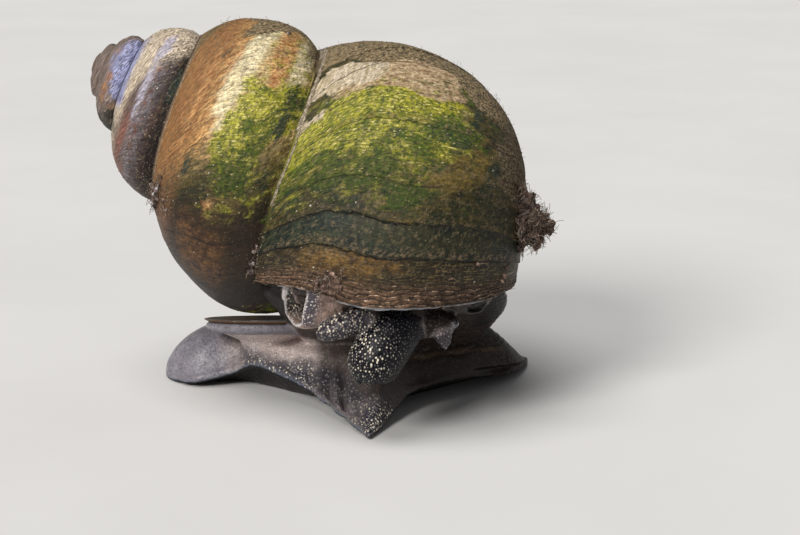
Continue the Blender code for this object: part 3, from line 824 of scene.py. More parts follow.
def useGroup(group, **inputs):
    return addNode(treeOf(*inputs.values()), "ShaderNodeGroup", {"node_tree": group}, **inputs).outputs[0]


def finishMaterial(shader, colour, roughness=None, height=None, strength=0.6, depth=0.05):
    tree = shader.id_data
    tree.links.new(colour, shader.inputs["Base Color"])
    if roughness is not None:
        tree.links.new(roughness, shader.inputs["Roughness"])
    if height is not None:
        bump = addNode(tree, "ShaderNodeBump", Height=height, Strength=strength, Distance=depth * mm)
        tree.links.new(bump.outputs[0], shader.inputs["Normal"])


def makeSpeckGroup():
    # small separate grains: a share of the cells, each with its own size
    inputs = [("Vector", "Vector", None), ("Cells", "Float", 2.0), ("Share", "Float", 0.3),
        ("Size", "Float", 0.3)]
    tree, given, end = newTree("ShaderNodeTree", "grains", inputs, "Mask", "Float")
    cells = addNode(tree, "ShaderNodeTexVoronoi", Vector=given["Vector"], Scale=given["Cells"])
    parts = addNode(tree, "ShaderNodeSeparateColor", Color=cells.outputs["Color"])
    chosen = calc("LESS_THAN", parts.outputs[0], given["Share"])
    reach = times(given["Size"], calc("ADD", parts.outputs[1], 0.4))
    tree.links.new(times(chosen, fall(cells.outputs["Distance"], times(reach, 0.6), reach)), end)
    return tree


def makeMottleGroup():
    # a mask that a noise breaks into clumps where it is weak
    inputs = [("Vector", "Vector", None), ("Cover", "Float", 0.5), ("Scale", "Float", 1.0),
        ("Edge", "Float", 0.05)]
    tree, given, end = newTree("ShaderNodeTree", "clumps", inputs, "Mask", "Float")
    noise = noiseOf(given["Vector"], given["Scale"], 8.0, 0.68)
    level = timesPlus(given["Cover"], -0.5, 0.75)
    low, high = calc("SUBTRACT", level, given["Edge"]), calc("ADD", level, given["Edge"])
    tree.links.new(times(rise(noise, low, high), rise(given["Cover"], 0.0, 0.12)), end)
    return tree


def shadeBy(colour, value, low, high):    # lightens or darkens a colour by a value
    amount = timesPlus(value, high - low, low)
    return addNode(treeOf(value), "ShaderNodeVectorMath", {"operation": "SCALE"}, _0=colour,
        Scale=amount).outputs[0]


def makeShellMaterial():
    material, tree, shader = newMaterial("snailShell", 0.5)
    growth, around, angle, spire, wobble = (pieceValue(tree, name) for name in (
        "growth", "around", "angle", "spire", "wobble"))
    read = {name: pieceValue(tree, name) for name in (
        "fromSuture", "tip", "inside", "silt", "moss", "lit", "teal", "sheen",
        *shellPatches, *shellSpots)}
    place = addNode(tree, "ShaderNodeCombineXYZ", X=growth, Y=around).outputs[0]
    streaks = stretch(place, 1.0, 0.1, 1.0)
    drawn = stretch(place, 1.0, 0.5, 1.0)
    fine = noiseOf(streaks, 2.4, 5.0, 0.65)
    finer = noiseOf(streaks, 6.5, 3.0, 0.6)
    broad = noiseOf(drawn, 0.2, 4.0, 0.6)
    cloud = noiseOf(place, 0.9, 6.0, 0.65)
    fold = noiseOf(drawn, 1.7, 6.0, 0.7)
    grit = noiseOf(stretch(place, 1.0, 0.65, 1.0), 3.6, 5.0, 0.75)
    back = calc("SUBTRACT", growth, wobble)

    def clump(cover, scale=1.0, edge=0.05, strength=1.0, vector=drawn):
        if strength != 1.0:
            cover = times(cover, strength)
        return useGroup(clumps, Vector=vector, Cover=cover, Scale=scale, Edge=edge)

    # the horny skin: olive and golden brown, with dark and yellow growth bands
    colour = blend((0.034, 0.03, 0.01), (0.115, 0.08, 0.018), broad, 0.4, 0.62)
    colour = blend(colour, (0.022, 0.03, 0.008), fold, 0.42, 0.62)
    colour = lay(colour, (0.2, 0.14, 0.034), clump(read["gold"], 0.7, 0.14))
    colour = lay(colour, (0.3, 0.24, 0.07), times(rise(finer, 0.56, 0.74), 0.6))
    newest = fall(back, 4.95, 5.15)
    gold = blend((0.055, 0.028, 0.008), (0.15, 0.08, 0.018), cloud, 0.4, 0.6)
    gold = lay(gold, (0.018, 0.014, 0.006), clump(lessOne(read["gold"]), 0.45, 0.16, 0.9))
    gold = lay(gold, (0.3, 0.2, 0.07), times(rise(finer, 0.54, 0.68), 0.5))
    colour = lay(colour, gold, newest)

    # brown leaves at the lip, with painted highlights on their crests and painted shade in the gaps between
    # them
    leafPhase = calc("DIVIDE", timesPlus(wobble, 2.5, growth), shellSizes["leafSpacing"])
    saw = calc("FRACT", leafPhase)
    leafy = fall(back, 1.2, 3.4)
    leaf = blend((0.045, 0.023, 0.012), (0.185, 0.108, 0.064), fold, 0.38, 0.6)
    # painted shade: the leaves darker towards the shell's right side
    leaf = shadeBy(leaf, rise(angle, -0.6, -0.2), 0.55, 1.0)
    # painted highlight on each leaf's crest
    leaf = lay(leaf, (0.6, 0.4, 0.27), times(rise(saw, 0.66, 0.92), rise(cloud, 0.48, 0.6),
        rise(grit, 0.4, 0.6)))
    # painted shade in the gap at each leaf's foot
    leaf = lay(leaf, (0.012, 0.007, 0.005), times(fall(saw, 0.06, 0.34), 0.85))
    colour = lay(colour, leaf, leafy)

    # the clear brown base of the whorl before, with painted shade where it goes under
    amber = blend((0.05, 0.02, 0.006), (0.15, 0.07, 0.022), cloud, 0.38, 0.64)
    base = times(rise(growth, 78.0, 84.0), fall(timesPlus(fold, 6.0, growth), 99.0, 105.0))
    colour = lay(colour, (0.028, 0.013, 0.006), times(base, 0.9))
    colour = lay(colour, amber, clump(read["amber"], 0.5, 0.2, 1.2))
    # painted shade, near black, where the whorl turns under
    below = times(rise(growth, 78.0, 84.0), fall(growth, 86.0, 95.0))
    colour = lay(colour, (0.01, 0.006, 0.004), times(below, 0.8))

    # tan, rust and cream on the whorl before
    older = rise(timesPlus(calc("SUBTRACT", fold, 0.5), 14.0, growth), 101.0, 106.5)
    older = times(older, lessOne(spire))
    warm = blend((0.26, 0.115, 0.034), (0.54, 0.31, 0.115), fold, 0.36, 0.62)
    ground = blend((0.32, 0.2, 0.075), (0.54, 0.4, 0.18), cloud, 0.36, 0.6)
    edge = times(older, rise(timesPlus(cloud, 0.35, angle), 0.44, 0.66))
    colour = lay(colour, lay(ground, warm, edge), older)
    left = times(rise(growth, 88.0, 98.0), rise(angle, 0.5, 0.7), lessOne(spire))
    colour = lay(colour, (0.22, 0.095, 0.034), times(left, 0.7))
    rust = blend((0.36, 0.15, 0.05), (0.62, 0.37, 0.155), fold, 0.4, 0.62)
    colour = lay(colour, rust, clump(read["rust"], 0.8, 0.2, 1.1))
    pale = blend((0.54, 0.42, 0.21), (0.8, 0.7, 0.46), finer, 0.34, 0.58)
    pale = lay(pale, (0.36, 0.23, 0.09), times(rise(grit, 0.56, 0.66), 0.8))
    colour = lay(colour, pale, clump(read["cream"], 0.8, 0.18, 1.15))

    # the spire: purple brown with pale stripes along the whorl, painted shade on each whorl's lower side,
    # worn to lilac at the tip
    run = addNode(tree, "ShaderNodeCombineXYZ", X=times(growth, 0.1), Y=times(angle, 2.4)).outputs[0]
    stripe = noiseOf(run, 1.7, 4.0, 0.6)
    # painted shade: each whorl turns near black towards its lower side, which faces down
    lower = rise(timesPlus(cloud, 0.5, angle), 0.12, 0.8)
    purple = blend((0.115, 0.075, 0.068), (0.235, 0.1, 0.075), stripe, 0.42, 0.58)
    purple = lay(purple, (0.19, 0.16, 0.175), times(near(angle, 0.28, 0.05, 0.3), rise(cloud, 0.36, 0.52)))
    purple = lay((0.014, 0.009, 0.008), purple, lower)
    upper = rise(timesPlus(fold, 0.6, angle), 0.9, 1.2)
    purple = lay(purple, (0.5, 0.41, 0.31), times(upper, rise(grit, 0.32, 0.54)))
    crown = timesPlus(fold, 4.0, growth)
    crown = times(rise(crown, 176.6, 179.2), fall(crown, 190.0, 196.0))
    purple = lay(purple, blend((0.24, 0.165, 0.11), (0.68, 0.57, 0.43), grit, 0.36, 0.54),
        times(crown, 0.9))
    purple = lay(purple, (0.44, 0.41, 0.49), times(clump(read["lilac"], 0.9, 0.12, 1.1), 0.9))
    colour = lay(colour, purple, spire)
    worn = blend((0.115, 0.085, 0.075), (0.3, 0.225, 0.195), fold, 0.38, 0.6)
    colour = lay(colour, worn, read["tip"])
    lilac = blend((0.125, 0.145, 0.33), (0.42, 0.43, 0.62), grit, 0.36, 0.62)
    colour = lay(colour, lilac, clump(read["tipLilac"], 1.0, 0.14, 1.2, place))
    colour = lay(colour, blend((0.22, 0.095, 0.045), (0.4, 0.2, 0.1), grit, 0.36, 0.6),
        times(clump(read["tipRust"], 1.6, 0.16, 1.0, place), 0.85))
    # painted shadow in the suture under the tip
    colour = lay(colour, (0.022, 0.024, 0.02), times(clump(read["tipDark"], 1.0, 0.18, 1.2, place), 0.9))
    colour = shadeBy(colour, rise(fine, 0.3, 0.7), 0.6, 1.36)

    # growths: tan ground, yellow film, green clumps of two sizes, teal crust
    tan = blend((0.27, 0.165, 0.085), (0.56, 0.42, 0.255), fold, 0.38, 0.6)
    colour = lay(colour, tan, clump(read["tan"], 0.8, 0.14, 1.2))
    film = clump(read["lit"], 1.0, 0.12, 1.25)
    lime = blend((0.15, 0.155, 0.008), (0.36, 0.335, 0.022), cloud, 0.36, 0.6)
    lime = lay(lime, (0.66, 0.57, 0.2), times(rise(finer, 0.5, 0.62), rise(grit, 0.42, 0.6)))
    lime = lay(lime, (0.07, 0.1, 0.008), times(fall(grit, 0.34, 0.46), 0.8))
    colour = lay(colour, lime, film)
    # the painted sheen, a pale highlight laid as colour
    paintedShine = blend((0.42, 0.33, 0.2), (0.63, 0.535, 0.4),
        noiseOf(stretch(place, 0.15, 1.0, 1.0), 2.2, 4.0, 0.65), 0.38, 0.6)
    colour = lay(colour, paintedShine, clump(read["sheen"], 1.6, 0.12, 1.3))
    green = clump(read["moss"], 0.75, 0.07, 0.94)
    tuft = blend((0.012, 0.03, 0.007), (0.08, 0.13, 0.008), fold, 0.38, 0.6)
    tuft = blend(tuft, (0.012, 0.034, 0.022), broad, 0.5, 0.6)
    tuft = lay(tuft, (0.22, 0.21, 0.024), times(rise(finer, 0.5, 0.64), rise(cloud, 0.42, 0.54)))
    tuft = shadeBy(tuft, rise(growth, 95.0, 98.0), 1.0, 0.75)
    colour = lay(colour, tuft, times(green, 0.92))
    little = clump(larger(read["moss"], times(read["lit"], 0.6)), 2.3, 0.07, 0.72)
    colour = lay(colour, (0.06, 0.095, 0.01), times(little, 0.72))
    flecks = useGroup(grains, Vector=drawn, Cells=4.4, Share=times(read["lit"], 0.22), Size=0.36)
    colour = lay(colour, (0.7, 0.6, 0.26), times(flecks, 0.7))
    deep = times(rise(back, 8.2, 8.8), fall(timesPlus(fold, 8.0, growth), 16.0, 23.0))
    earlier = times(rise(growth, 92.0, 96.0), fall(timesPlus(fold, 6.0, growth), 106.0, 110.0))
    colour = shadeBy(colour, larger(deep, times(earlier, 0.6)), 1.0, 0.58)
    crust = clump(read["teal"], 0.6, 0.12, 1.0)
    bluish = blend((0.003, 0.008, 0.008), (0.022, 0.034, 0.018), cloud, 0.38, 0.64)
    bluish = lay(bluish, (0.06, 0.054, 0.02), times(rise(broad, 0.46, 0.6), 0.35))
    bluish = lay(bluish, (0.11, 0.1, 0.06), times(rise(fine, 0.58, 0.7), 0.6))
    # painted shade: the crust darker towards the shell's right side
    bluish = shadeBy(bluish, rise(angle, -0.5, 0.2), 0.55, 0.92)
    colour = lay(colour, bluish, times(crust, 0.92))
    inky = clump(read["dark"], 1.0, 0.12, 1.1, place)
    colour = lay(colour, (0.018, 0.034, 0.026), times(inky, 0.9))

    # silt in clumps, specks and pale grains
    dusty = clump(read["silt"], 0.8, 0.1, 1.15)
    mud = blend((0.095, 0.06, 0.03), (0.36, 0.27, 0.15), grit, 0.36, 0.6)
    mud = blend(mud, (0.07, 0.064, 0.034), fold, 0.5, 0.62)
    mud = lay(mud, (0.13, 0.06, 0.034), times(rise(fine, 0.52, 0.66), fall(angle, -0.7, -0.1)))
    # painted shade: the silt darker towards the shell's right side
    right = times(fall(angle, -0.75, -0.25), lessOne(spire))
    mud = shadeBy(mud, right, 1.0, 0.45)
    colour = lay(colour, mud, dusty)
    settled = clump(lessOne(larger(leafy, base)), 1.6, 0.07, 0.36, place)
    colour = lay(colour, (0.17, 0.125, 0.065), times(settled, 0.5))
    specks = useGroup(grains, Vector=drawn, Cells=2.6, Share=0.24, Size=0.3)
    colour = lay(colour, (0.026, 0.03, 0.012), times(specks, 0.62))
    motes = useGroup(grains, Vector=place, Cells=4.2, Share=0.16, Size=0.32)
    colour = lay(colour, (0.27, 0.21, 0.125), times(motes, 0.55))
    bright = useGroup(grains, Vector=place, Cells=1.9, Share=0.03, Size=0.2)
    colour = lay(colour, (0.7, 0.64, 0.52), bright)
    granules = useGroup(grains, Vector=place, Cells=4.2, Size=0.36,
        Share=times(spire, timesPlus(rise(fold, 0.42, 0.58), 0.44, 0.08)))
    colour = lay(colour, (0.58, 0.47, 0.36), times(granules, 0.9))
    colour = shadeBy(colour, rise(grit, 0.32, 0.68), 0.46, 1.58)

    # dark lines where growth stopped, with a ledge of silt above some
    line, ledge = None, None
    rough = timesPlus(fold, 0.9, calc("SUBTRACT", back, 0.45))
    for stop, wide, strength in ((5.1, 0.06, 1.0), (8.4, 0.06, 0.95), (18.2, 0.05, 0.6), (22.0, 0.05, 0.35),
                                 (31.0, 0.1, 0.6), (47.0, 0.12, 0.7), (68.0, 0.12, 0.6), (95.0, 0.06, 0.6),
                                 (91.0, 0.05, 0.6), (12.0, 0.06, 0.4), (27.0, 0.07, 0.6)):
        shown = times(near(rough, stop, wide * 0.5, wide * 1.8), rise(cloud, 0.3, 0.46), strength)
        line = shown if line is None else larger(line, shown)
    colour = lay(colour, (0.005, 0.005, 0.005), line)
    for stop, strength in ((5.55, 0.8), (18.6, 0.9), (13.8, 0.6), (8.7, 0.3)):
        shown = times(near(rough, stop, 0.1, 0.5), strength, rise(cloud, 0.42, 0.6), rise(grit, 0.44, 0.58))
        ledge = shown if ledge is None else larger(ledge, shown)
    colour = lay(colour, (0.24, 0.155, 0.09), ledge)

    # lime and silt in the suture, and a thin pale edge at the lip
    ragged = timesPlus(noiseOf(place, 1.9, 6.0, 0.8), 1.55, -0.56)
    crusty = fall(read["fromSuture"], ragged, calc("ADD", ragged, 0.12))
    chalk = blend((0.1, 0.07, 0.04), (0.56, 0.48, 0.36), grit, 0.42, 0.6)
    colour = lay(colour, chalk, times(crusty, lessOne(times(spire, 0.6))))
    rim = fall(growth, 0.02, 0.22)
    colour = lay(colour, (0.34, 0.37, 0.41), times(rim, 0.6))
    nacre = blend((0.22, 0.24, 0.27), (0.4, 0.42, 0.46), cloud, 0.35, 0.65)
    colour = lay(colour, nacre, read["inside"])

    shader.inputs["Specular IOR Level"].default_value = 0.28
    rough = timesPlus(fold, 0.3, timesPlus(spire, 0.16, 0.32))
    for mask, amount in (
            (dusty, 0.88), (crusty, 0.9), (green, 0.65), (leafy, 0.62), (edge, 0.55), (granules, 0.3)):
        rough = addNode(tree, "ShaderNodeMix", _0=mask, _2=rough, _3=amount).outputs[0]

    height = times(fine, 0.6)
    for mask, amount in (
            (finer, 0.5), (fold, 0.6), (grit, timesPlus(dusty, 1.2, 0.55)), (green, 0.35), (dusty, 0.5),
            (crusty, 0.8), (bright, 0.9), (granules, 0.9), (flecks, 0.25), (motes, 0.3), (line, -1.2),
            (inky, 0.3), (film, 0.2), (ledge, 0.4)):
        height = timesPlus(mask, amount, height)
    finishMaterial(shader, colour, rough, height, 0.85, 0.12)
    return material


grains, clumps = makeSpeckGroup(), makeMottleGroup()
shellMaterial = makeShellMaterial()

coilTree = makeCoilTree()

# The flesh: every soft form is made closed, then one skin is drawn over all of them
fleshSizes = {
    "voxel": 0.135,
    "faces": 190000,
    "footRows": 90,
    "footColumns": 50,
    "edgeThick": 0.72,
    "headMiddle": (0.2, -11.3, 10.8),
    "headHalf": (5.0, 2.7, 1.9),
    "mouthMiddle": (-3.3, -14.75, 5.5),
    "eyeRadius": 0.45,
    "eyeRight": (-3.8, -13.55, 12.2),
    "eyeLeft": (4.85, -12.5, 10.7),
    "lobeMiddle": (-13.0, 3.0, 6.62),
    "lobeHalf": (6.1, 4.92),
    "lobeThick": 1.05,
    "eyeBumps": ((-3.6, -13.15, 11.85, 0.85), (4.5, -12.15, 10.75, 0.8)),
    "slope": -0.21,
}
# The foot, tail to front: near edge x, y and lift, far edge x and y, and the back's rise
footTable = np.array([
    [-23.5, 6.3, 0.0, -23.4, 8.2, 0.2],
    [-22.4, 4.0, 0.1, -21.5, 11.1, 2.6],
    [-20.1, 2.2, 0.4, -18.5, 13.6, 3.9],
    [-16.5, 2.0, 1.4, -13.5, 14.9, 4.2],
    [-14.1, -0.5, 3.0, -8.5, 15.4, 4.4],
    [-11.5, -3.4, 2.9, -4.0, 15.5, 4.9],
    [-8.8, -5.7, 2.2, 0.5, 15.0, 5.9],
    [-6.6, -8.4, 1.4, 5.0, 14.2, 6.4],
    [-4.5, -11.0, 0.6, 9.3, 12.8, 5.8],
    [-2.8, -13.8, 0.0, 13.1, 10.6, 0.2],
])
# Across the foot, near to far: the share of its rise that the back has
footDome = np.array([
    [0.0, 0.0], [0.04, 0.06], [0.08, 0.28], [0.14, 0.66], [0.22, 0.88], [0.34, 0.98], [0.5, 1.0],
    [0.68, 0.96], [0.8, 0.82], [0.89, 0.5], [0.95, 0.14], [1.0, 0.0],
])
# Along the front edge, near to far: how far it runs ahead of a straight line, and its lift
frontEdge = np.array([
    [0.0, 0.0, 0.0], [0.1, -0.6, 0.1], [0.23, -1.8, 0.9], [0.32, -1.9, 1.7], [0.44, -0.3, 2.0],
    [0.58, 1.5, 1.9], [0.68, 2.2, 1.5], [0.8, 2.2, 0.9], [0.94, 0.9, 0.3], [1.0, 0.0, 0.0],
])
frontWay = np.array([0.84, -0.54])
# The neck, from the foot's back up into the lip: centre x and y, height, half width, half depth
neckTable = np.array([
    [-0.9, -0.6, 7.4, 9.8, 4.8],
    [-0.9, -2.6, 9.2, 10.7, 5.6],
    [-1.1, -4.9, 10.8, 11.2, 6.1],
    [-1.4, -6.3, 11.9, 11.3, 6.3],
    [-1.7, -7.0, 12.7, 11.0, 6.5],
    [-1.9, -7.2, 14.2, 10.0, 5.9],
])
# Limbs of round section: points along the middle, with the radius at each
limbs = {
    "snout": [(0.7, -10.9, 11.4, 2.1), (-0.3, -12.5, 10.3, 2.35), (-1.4, -13.6, 8.9, 2.5),
        (-2.4, -14.2, 7.5, 2.42), (-2.9, -14.4, 6.7, 2.05), (-3.15, -14.5, 6.15, 1.35),
        (-3.2, -14.5, 5.85, 0.5)],
    "tentacleRight": [(-1.8, -12.2, 11.5, 1.15), (-3.6, -13.3, 11.2, 1.15), (-5.4, -13.9, 10.65, 1.05),
        (-6.5, -14.1, 10.3, 0.86), (-7.15, -14.15, 10.1, 0.55), (-7.4, -14.15, 10.0, 0.15)],
    "tentacleLeft": [(3.3, -12.0, 11.2, 1.15), (3.75, -12.4, 10.0, 0.98), (4.0, -12.6, 9.1, 0.66),
        (4.1, -12.7, 8.6, 0.4), (4.15, -12.7, 8.35, 0.12)],
}
# Each neck lobe is a gutter that opens sideways: its rim, middle and root, each one from the far
# wall's top down and round to the near wall's top, and its thickness
lappets = {
    "right": {"thick": 0.42, "lines": (
        ((-10.3, -11.2, 13.9), (-10.55, -11.0, 12.5), (-10.5, -11.2, 11.35), (-10.05, -11.8, 10.65),
            (-9.5, -12.6, 10.4), (-8.95, -13.4, 10.9), (-8.8, -13.7, 11.9), (-8.5, -13.7, 13.0),
            (-8.2, -13.5, 14.3)),
        ((-8.3, -11.0, 14.0), (-8.55, -10.8, 12.45), (-8.45, -11.0, 11.4), (-8.25, -11.7, 10.65),
            (-7.9, -12.7, 10.35), (-7.45, -13.7, 10.8), (-7.05, -14.0, 11.8), (-6.95, -14.0, 12.95),
            (-6.85, -13.7, 14.3)),
        ((-5.6, -10.6, 13.9), (-5.7, -10.4, 12.7), (-5.7, -10.6, 11.85), (-5.6, -11.3, 11.25),
            (-5.4, -12.2, 11.05), (-5.2, -13.0, 11.55), (-5.0, -13.3, 12.3), (-4.9, -13.3, 13.1),
            (-4.85, -13.1, 14.3)))},
    "left": {"thick": 0.42, "lines": (
        ((7.9, -10.0, 13.6), (8.1, -9.8, 12.55), (7.95, -9.9, 11.65), (7.5, -10.3, 11.1),
            (6.8, -10.9, 11.0), (6.2, -11.4, 11.5), (5.9, -11.6, 12.3), (5.8, -11.5, 13.1),
            (5.8, -11.3, 13.9)),
        ((6.45, -9.8, 13.6), (6.55, -9.6, 12.6), (6.5, -9.75, 11.8), (6.1, -10.25, 11.25),
            (5.6, -10.95, 11.2), (5.1, -11.6, 11.7), (4.9, -11.8, 12.5), (4.85, -11.7, 13.25),
            (4.9, -11.45, 14.0)),
        ((5.0, -9.6, 13.65), (5.0, -9.4, 12.65), (5.0, -9.6, 11.95), (4.75, -10.2, 11.45),
            (4.35, -11.0, 11.4), (4.05, -11.8, 11.95), (3.95, -12.0, 12.7), (3.95, -11.9, 13.4),
            (4.05, -11.6, 14.1)))},
}


def makeFoot():
    rows, columns = fleshSizes["footRows"], fleshSizes["footColumns"]
    along = np.linspace(0, 1, rows + 1)[:, None]
    across = 0.5 - 0.5 * np.cos(np.pi * np.linspace(0, 1, columns + 1))[None, :]
    sides = alongRows(footTable, along)
    near, far = sides[..., :2], sides[..., 3:5]
    ahead = ease(0.7, 1.0, along) * smoothCurve(frontEdge[:, 0], frontEdge[:, 1], across)
    plan = near + (far - near) * across[..., None] + ahead[..., None] * frontWay
    nearLift = np.maximum(sides[..., 2], 0)
    frontLift = np.maximum(smoothCurve(frontEdge[:, 0], frontEdge[:, 2], across), 0)
    under = np.maximum(nearLift * fade(0.02, 0.22, across), frontLift * ease(0.86, 1.0, along))
    dome = np.maximum(smoothCurve(footDome[:, 0], footDome[:, 1], across), 0)
    top = under + fleshSizes["edgeThick"] + np.maximum(sides[..., 5] * dome, 0)
    upper = np.concatenate([plan, top[..., None]], -1)
    lower = np.concatenate([plan, under[..., None]], -1)[:, ::-1]
    rings = np.concatenate([upper, lower], axis=1)
    return newMesh("foot", toRow(rings.reshape(-1, 3)), loftFaces(rows + 1, rings.shape[1]))


def ringPoints(centre, half, count=56):
    way = 2 * math.pi * np.arange(count) / count
    return np.stack([centre[0] + half[0] * np.cos(way), centre[1] + half[1] * np.sin(way),
                     0 * way + centre[2]], -1)


def makeNeck():
    shares = np.linspace(-0.2, 1.0, 30)
    rows = [ringPoints(ring[:3], ring[3:]) for ring in alongRows(neckTable, shares)]
    return newMesh("neck", toRow(np.concatenate(rows)), loftFaces(len(rows), 56))


def makeBall(name, middle, half, rows=20, columns=32):
    turns = np.pi * np.arange(1, rows) / rows
    points = [ringPoints((middle[0], middle[1], middle[2] - half[2] * math.cos(turn)),
                         (half[0] * math.sin(turn), half[1] * math.sin(turn)), columns) for turn in turns]
    points = np.concatenate(points + [[(middle[0], middle[1], middle[2] + s * half[2]) for s in (-1, 1)]])
    faces = loftFaces(rows - 1, columns)[2:]
    low, high = len(points) - 2, len(points) - 1
    for j in range(columns):
        k = (j + 1) % columns
        faces += [(low, k, j), (high, (rows - 2) * columns + j, (rows - 2) * columns + k)]
    return newSolid(name, points, faces)


def limbLine(path, count):
    return alongRows(path, np.linspace(0, 1, count))


def makeLimb(name, path, rows=40, columns=28):    # blunt and rounded at its end
    line = limbLine(path, rows)
    ways = np.gradient(line[:, :3], axis=0)
    ways /= np.linalg.norm(ways, axis=1, keepdims=True)
    points = []
    for place, way in zip(line, ways):
        side = np.cross(way, (0.0, 0.0, 1.0))
        side /= np.linalg.norm(side)
        up = np.cross(side, way)
        turn = 2 * np.pi * np.arange(columns)[:, None] / columns
        points.append(place[:3] + place[3] * (np.cos(turn) * side + np.sin(turn) * up))
    return newMesh(name, toRow(np.concatenate(points)), loftFaces(rows, columns))


def lappetWalls(thick, lines, rows=26, columns=44):
    # a neck lobe's outer and inner side, row by row from its rim to its root
    drawn = [alongRows(line, np.linspace(0, 1, columns)) for line in lines]
    outer = alongRows(drawn, np.linspace(0, 1, rows))
    normals = np.cross(np.gradient(outer, axis=1), np.gradient(outer, axis=0))
    normals /= np.linalg.norm(normals, axis=2, keepdims=True)
    middle = outer.mean(axis=1, keepdims=True)
    normals *= np.sign(np.sum(normals * (middle - outer)))
    return outer, outer + thick * normals


def makeLappet(sizes):
    outer, inner = lappetWalls(**sizes)
    rings = np.concatenate([outer, inner[:, ::-1]], axis=1)
    return newMesh("lappet", toRow(rings.reshape(-1, 3)), loftFaces(rings.shape[0], rings.shape[1]))


def makeLobe():
    # the lobe that carries the operculum, on its stalk
    middle, half, thick = (fleshSizes[key] for key in ("lobeMiddle", "lobeHalf", "lobeThick"))
    rings = ((0.5, 0.0), (0.95, 0.02), (0.99, 0.2), (1.0, 0.45), (0.98, 0.75), (0.92, 0.95), (0.7, 1.15),
             (0.45, 1.8), (0.38, 3.4))
    points = []
    for size, depth in rings:
        ring = ringPoints((0, 0, 0), (half[0] * size, half[1] * size))
        ring[:, 2] = fleshSizes["slope"] * ring[:, 1] - depth * thick
        points.append(ring + middle)
    return newMesh("lobe", toRow(np.concatenate(points)), loftFaces(len(rings), 56))


def makeMantle():
    # what closes the shell's opening behind the lip
    inner = shellSizes["wall"] + 0.12
    turns = [0.22, 0.25] + [k / 32 for k in range(9, 20)] + [0.65, 0.68]
    lifts = [-2.2, -1.4] + [-inner] * 11 + [-2.0, -3.2]
    mantle = makeTube("mantle", steady(turns), steady(lifts), 1.5)
    points = [(x, y, z) for z in (13.25, 16.5) for x, y in ((-40, -40), (40, -40), (40, 40), (-40, 40))]
    slab = newSolid("slab", points, loftFaces(2, 4))
    combine(mantle, [slab], "INTERSECT")
    return mantle


def relaxPoints(points, edges, rounds, amount):
    # draws each point towards the middle of its neighbours
    count = np.bincount(edges.ravel(), minlength=len(points))[:, None]
    for _ in range(rounds):
        total = np.zeros_like(points)
        for k in range(3):
            total[:, k] = np.bincount(edges[:, 0], points[edges[:, 1], k], len(points))
            total[:, k] += np.bincount(edges[:, 1], points[edges[:, 0], k], len(points))
        points = points + amount * (total / np.maximum(count, 1) - points)
    return points


def nearLine(points, path):
    # each point's distance from a limb's middle, less its radius, and how far along it lies
    line = limbLine(path, 24)
    gaps = np.linalg.norm(points[:, None, :] - line[None, :, :3], axis=2) - line[None, :, 3]
    nearest = np.argmin(gaps, axis=1)
    return gaps[np.arange(len(points)), nearest], nearest / 23.0


def footBorder():
    # the foot's outline in plan, and for each place whether it lies on the front edge
    long, wide = 160, 60
    sides = alongRows(footTable, np.linspace(0, 1, long))
    across = np.linspace(0, 1, wide)
    near, far = sides[:, :2], sides[:, 3:5]
    front = near[-1] + (far[-1] - near[-1]) * across[:, None]
    front = front + smoothCurve(frontEdge[:, 0], frontEdge[:, 1], across)[:, None] * frontWay
    kinds = np.repeat([0, 1, 2], [long, wide, long])
    lifts = np.concatenate([sides[:, 2], smoothCurve(frontEdge[:, 0], frontEdge[:, 2], across),
        np.zeros(long)])
    return np.concatenate([near, front, far]), kinds, np.maximum(lifts, 0)


def fromBorder(points):
    border, kinds, lifts = footBorder()
    away, kind, above = np.zeros(len(points)), np.zeros(len(points)), points[:, 2].copy()
    for k in range(0, len(points), 20000):
        gaps = np.linalg.norm(points[k:k + 20000, None, :2] - border[None], axis=2)
        nearest = np.argmin(gaps, axis=1)
        away[k:k + 20000] = gaps[np.arange(len(gaps)), nearest]
        kind[k:k + 20000] = kinds[nearest]
        above[k:k + 20000] -= lifts[nearest]
    return away, kind, above


def inLappet(points, sizes):
    # whether a point is on a neck lobe, in its hollow, how far from its rim, and how far round
    outer, inner = lappetWalls(**sizes)
    walls = np.concatenate([outer.reshape(-1, 3), inner.reshape(-1, 3)])
    rows, columns = outer.shape[:2]
    near = np.nonzero(np.all((points > walls.min(axis=0) - 0.6) & (points < walls.max(axis=0) + 0.6),
        axis=1))[0]
    found = np.zeros((4, len(points)))
    for k in range(0, len(near), 4000):
        chosen = near[k:k + 4000]
        gaps = np.linalg.norm(points[chosen, None, :] - walls[None], axis=2)
        nearest = np.argmin(gaps, axis=1)
        place = nearest % (rows * columns)
        found[:, chosen] = (1 - ease(0.22, 0.42, gaps[np.arange(len(chosen)), nearest]),
            nearest >= rows * columns,
                            (place // columns) / (rows - 1), (place % columns) / (columns - 1))
    return found


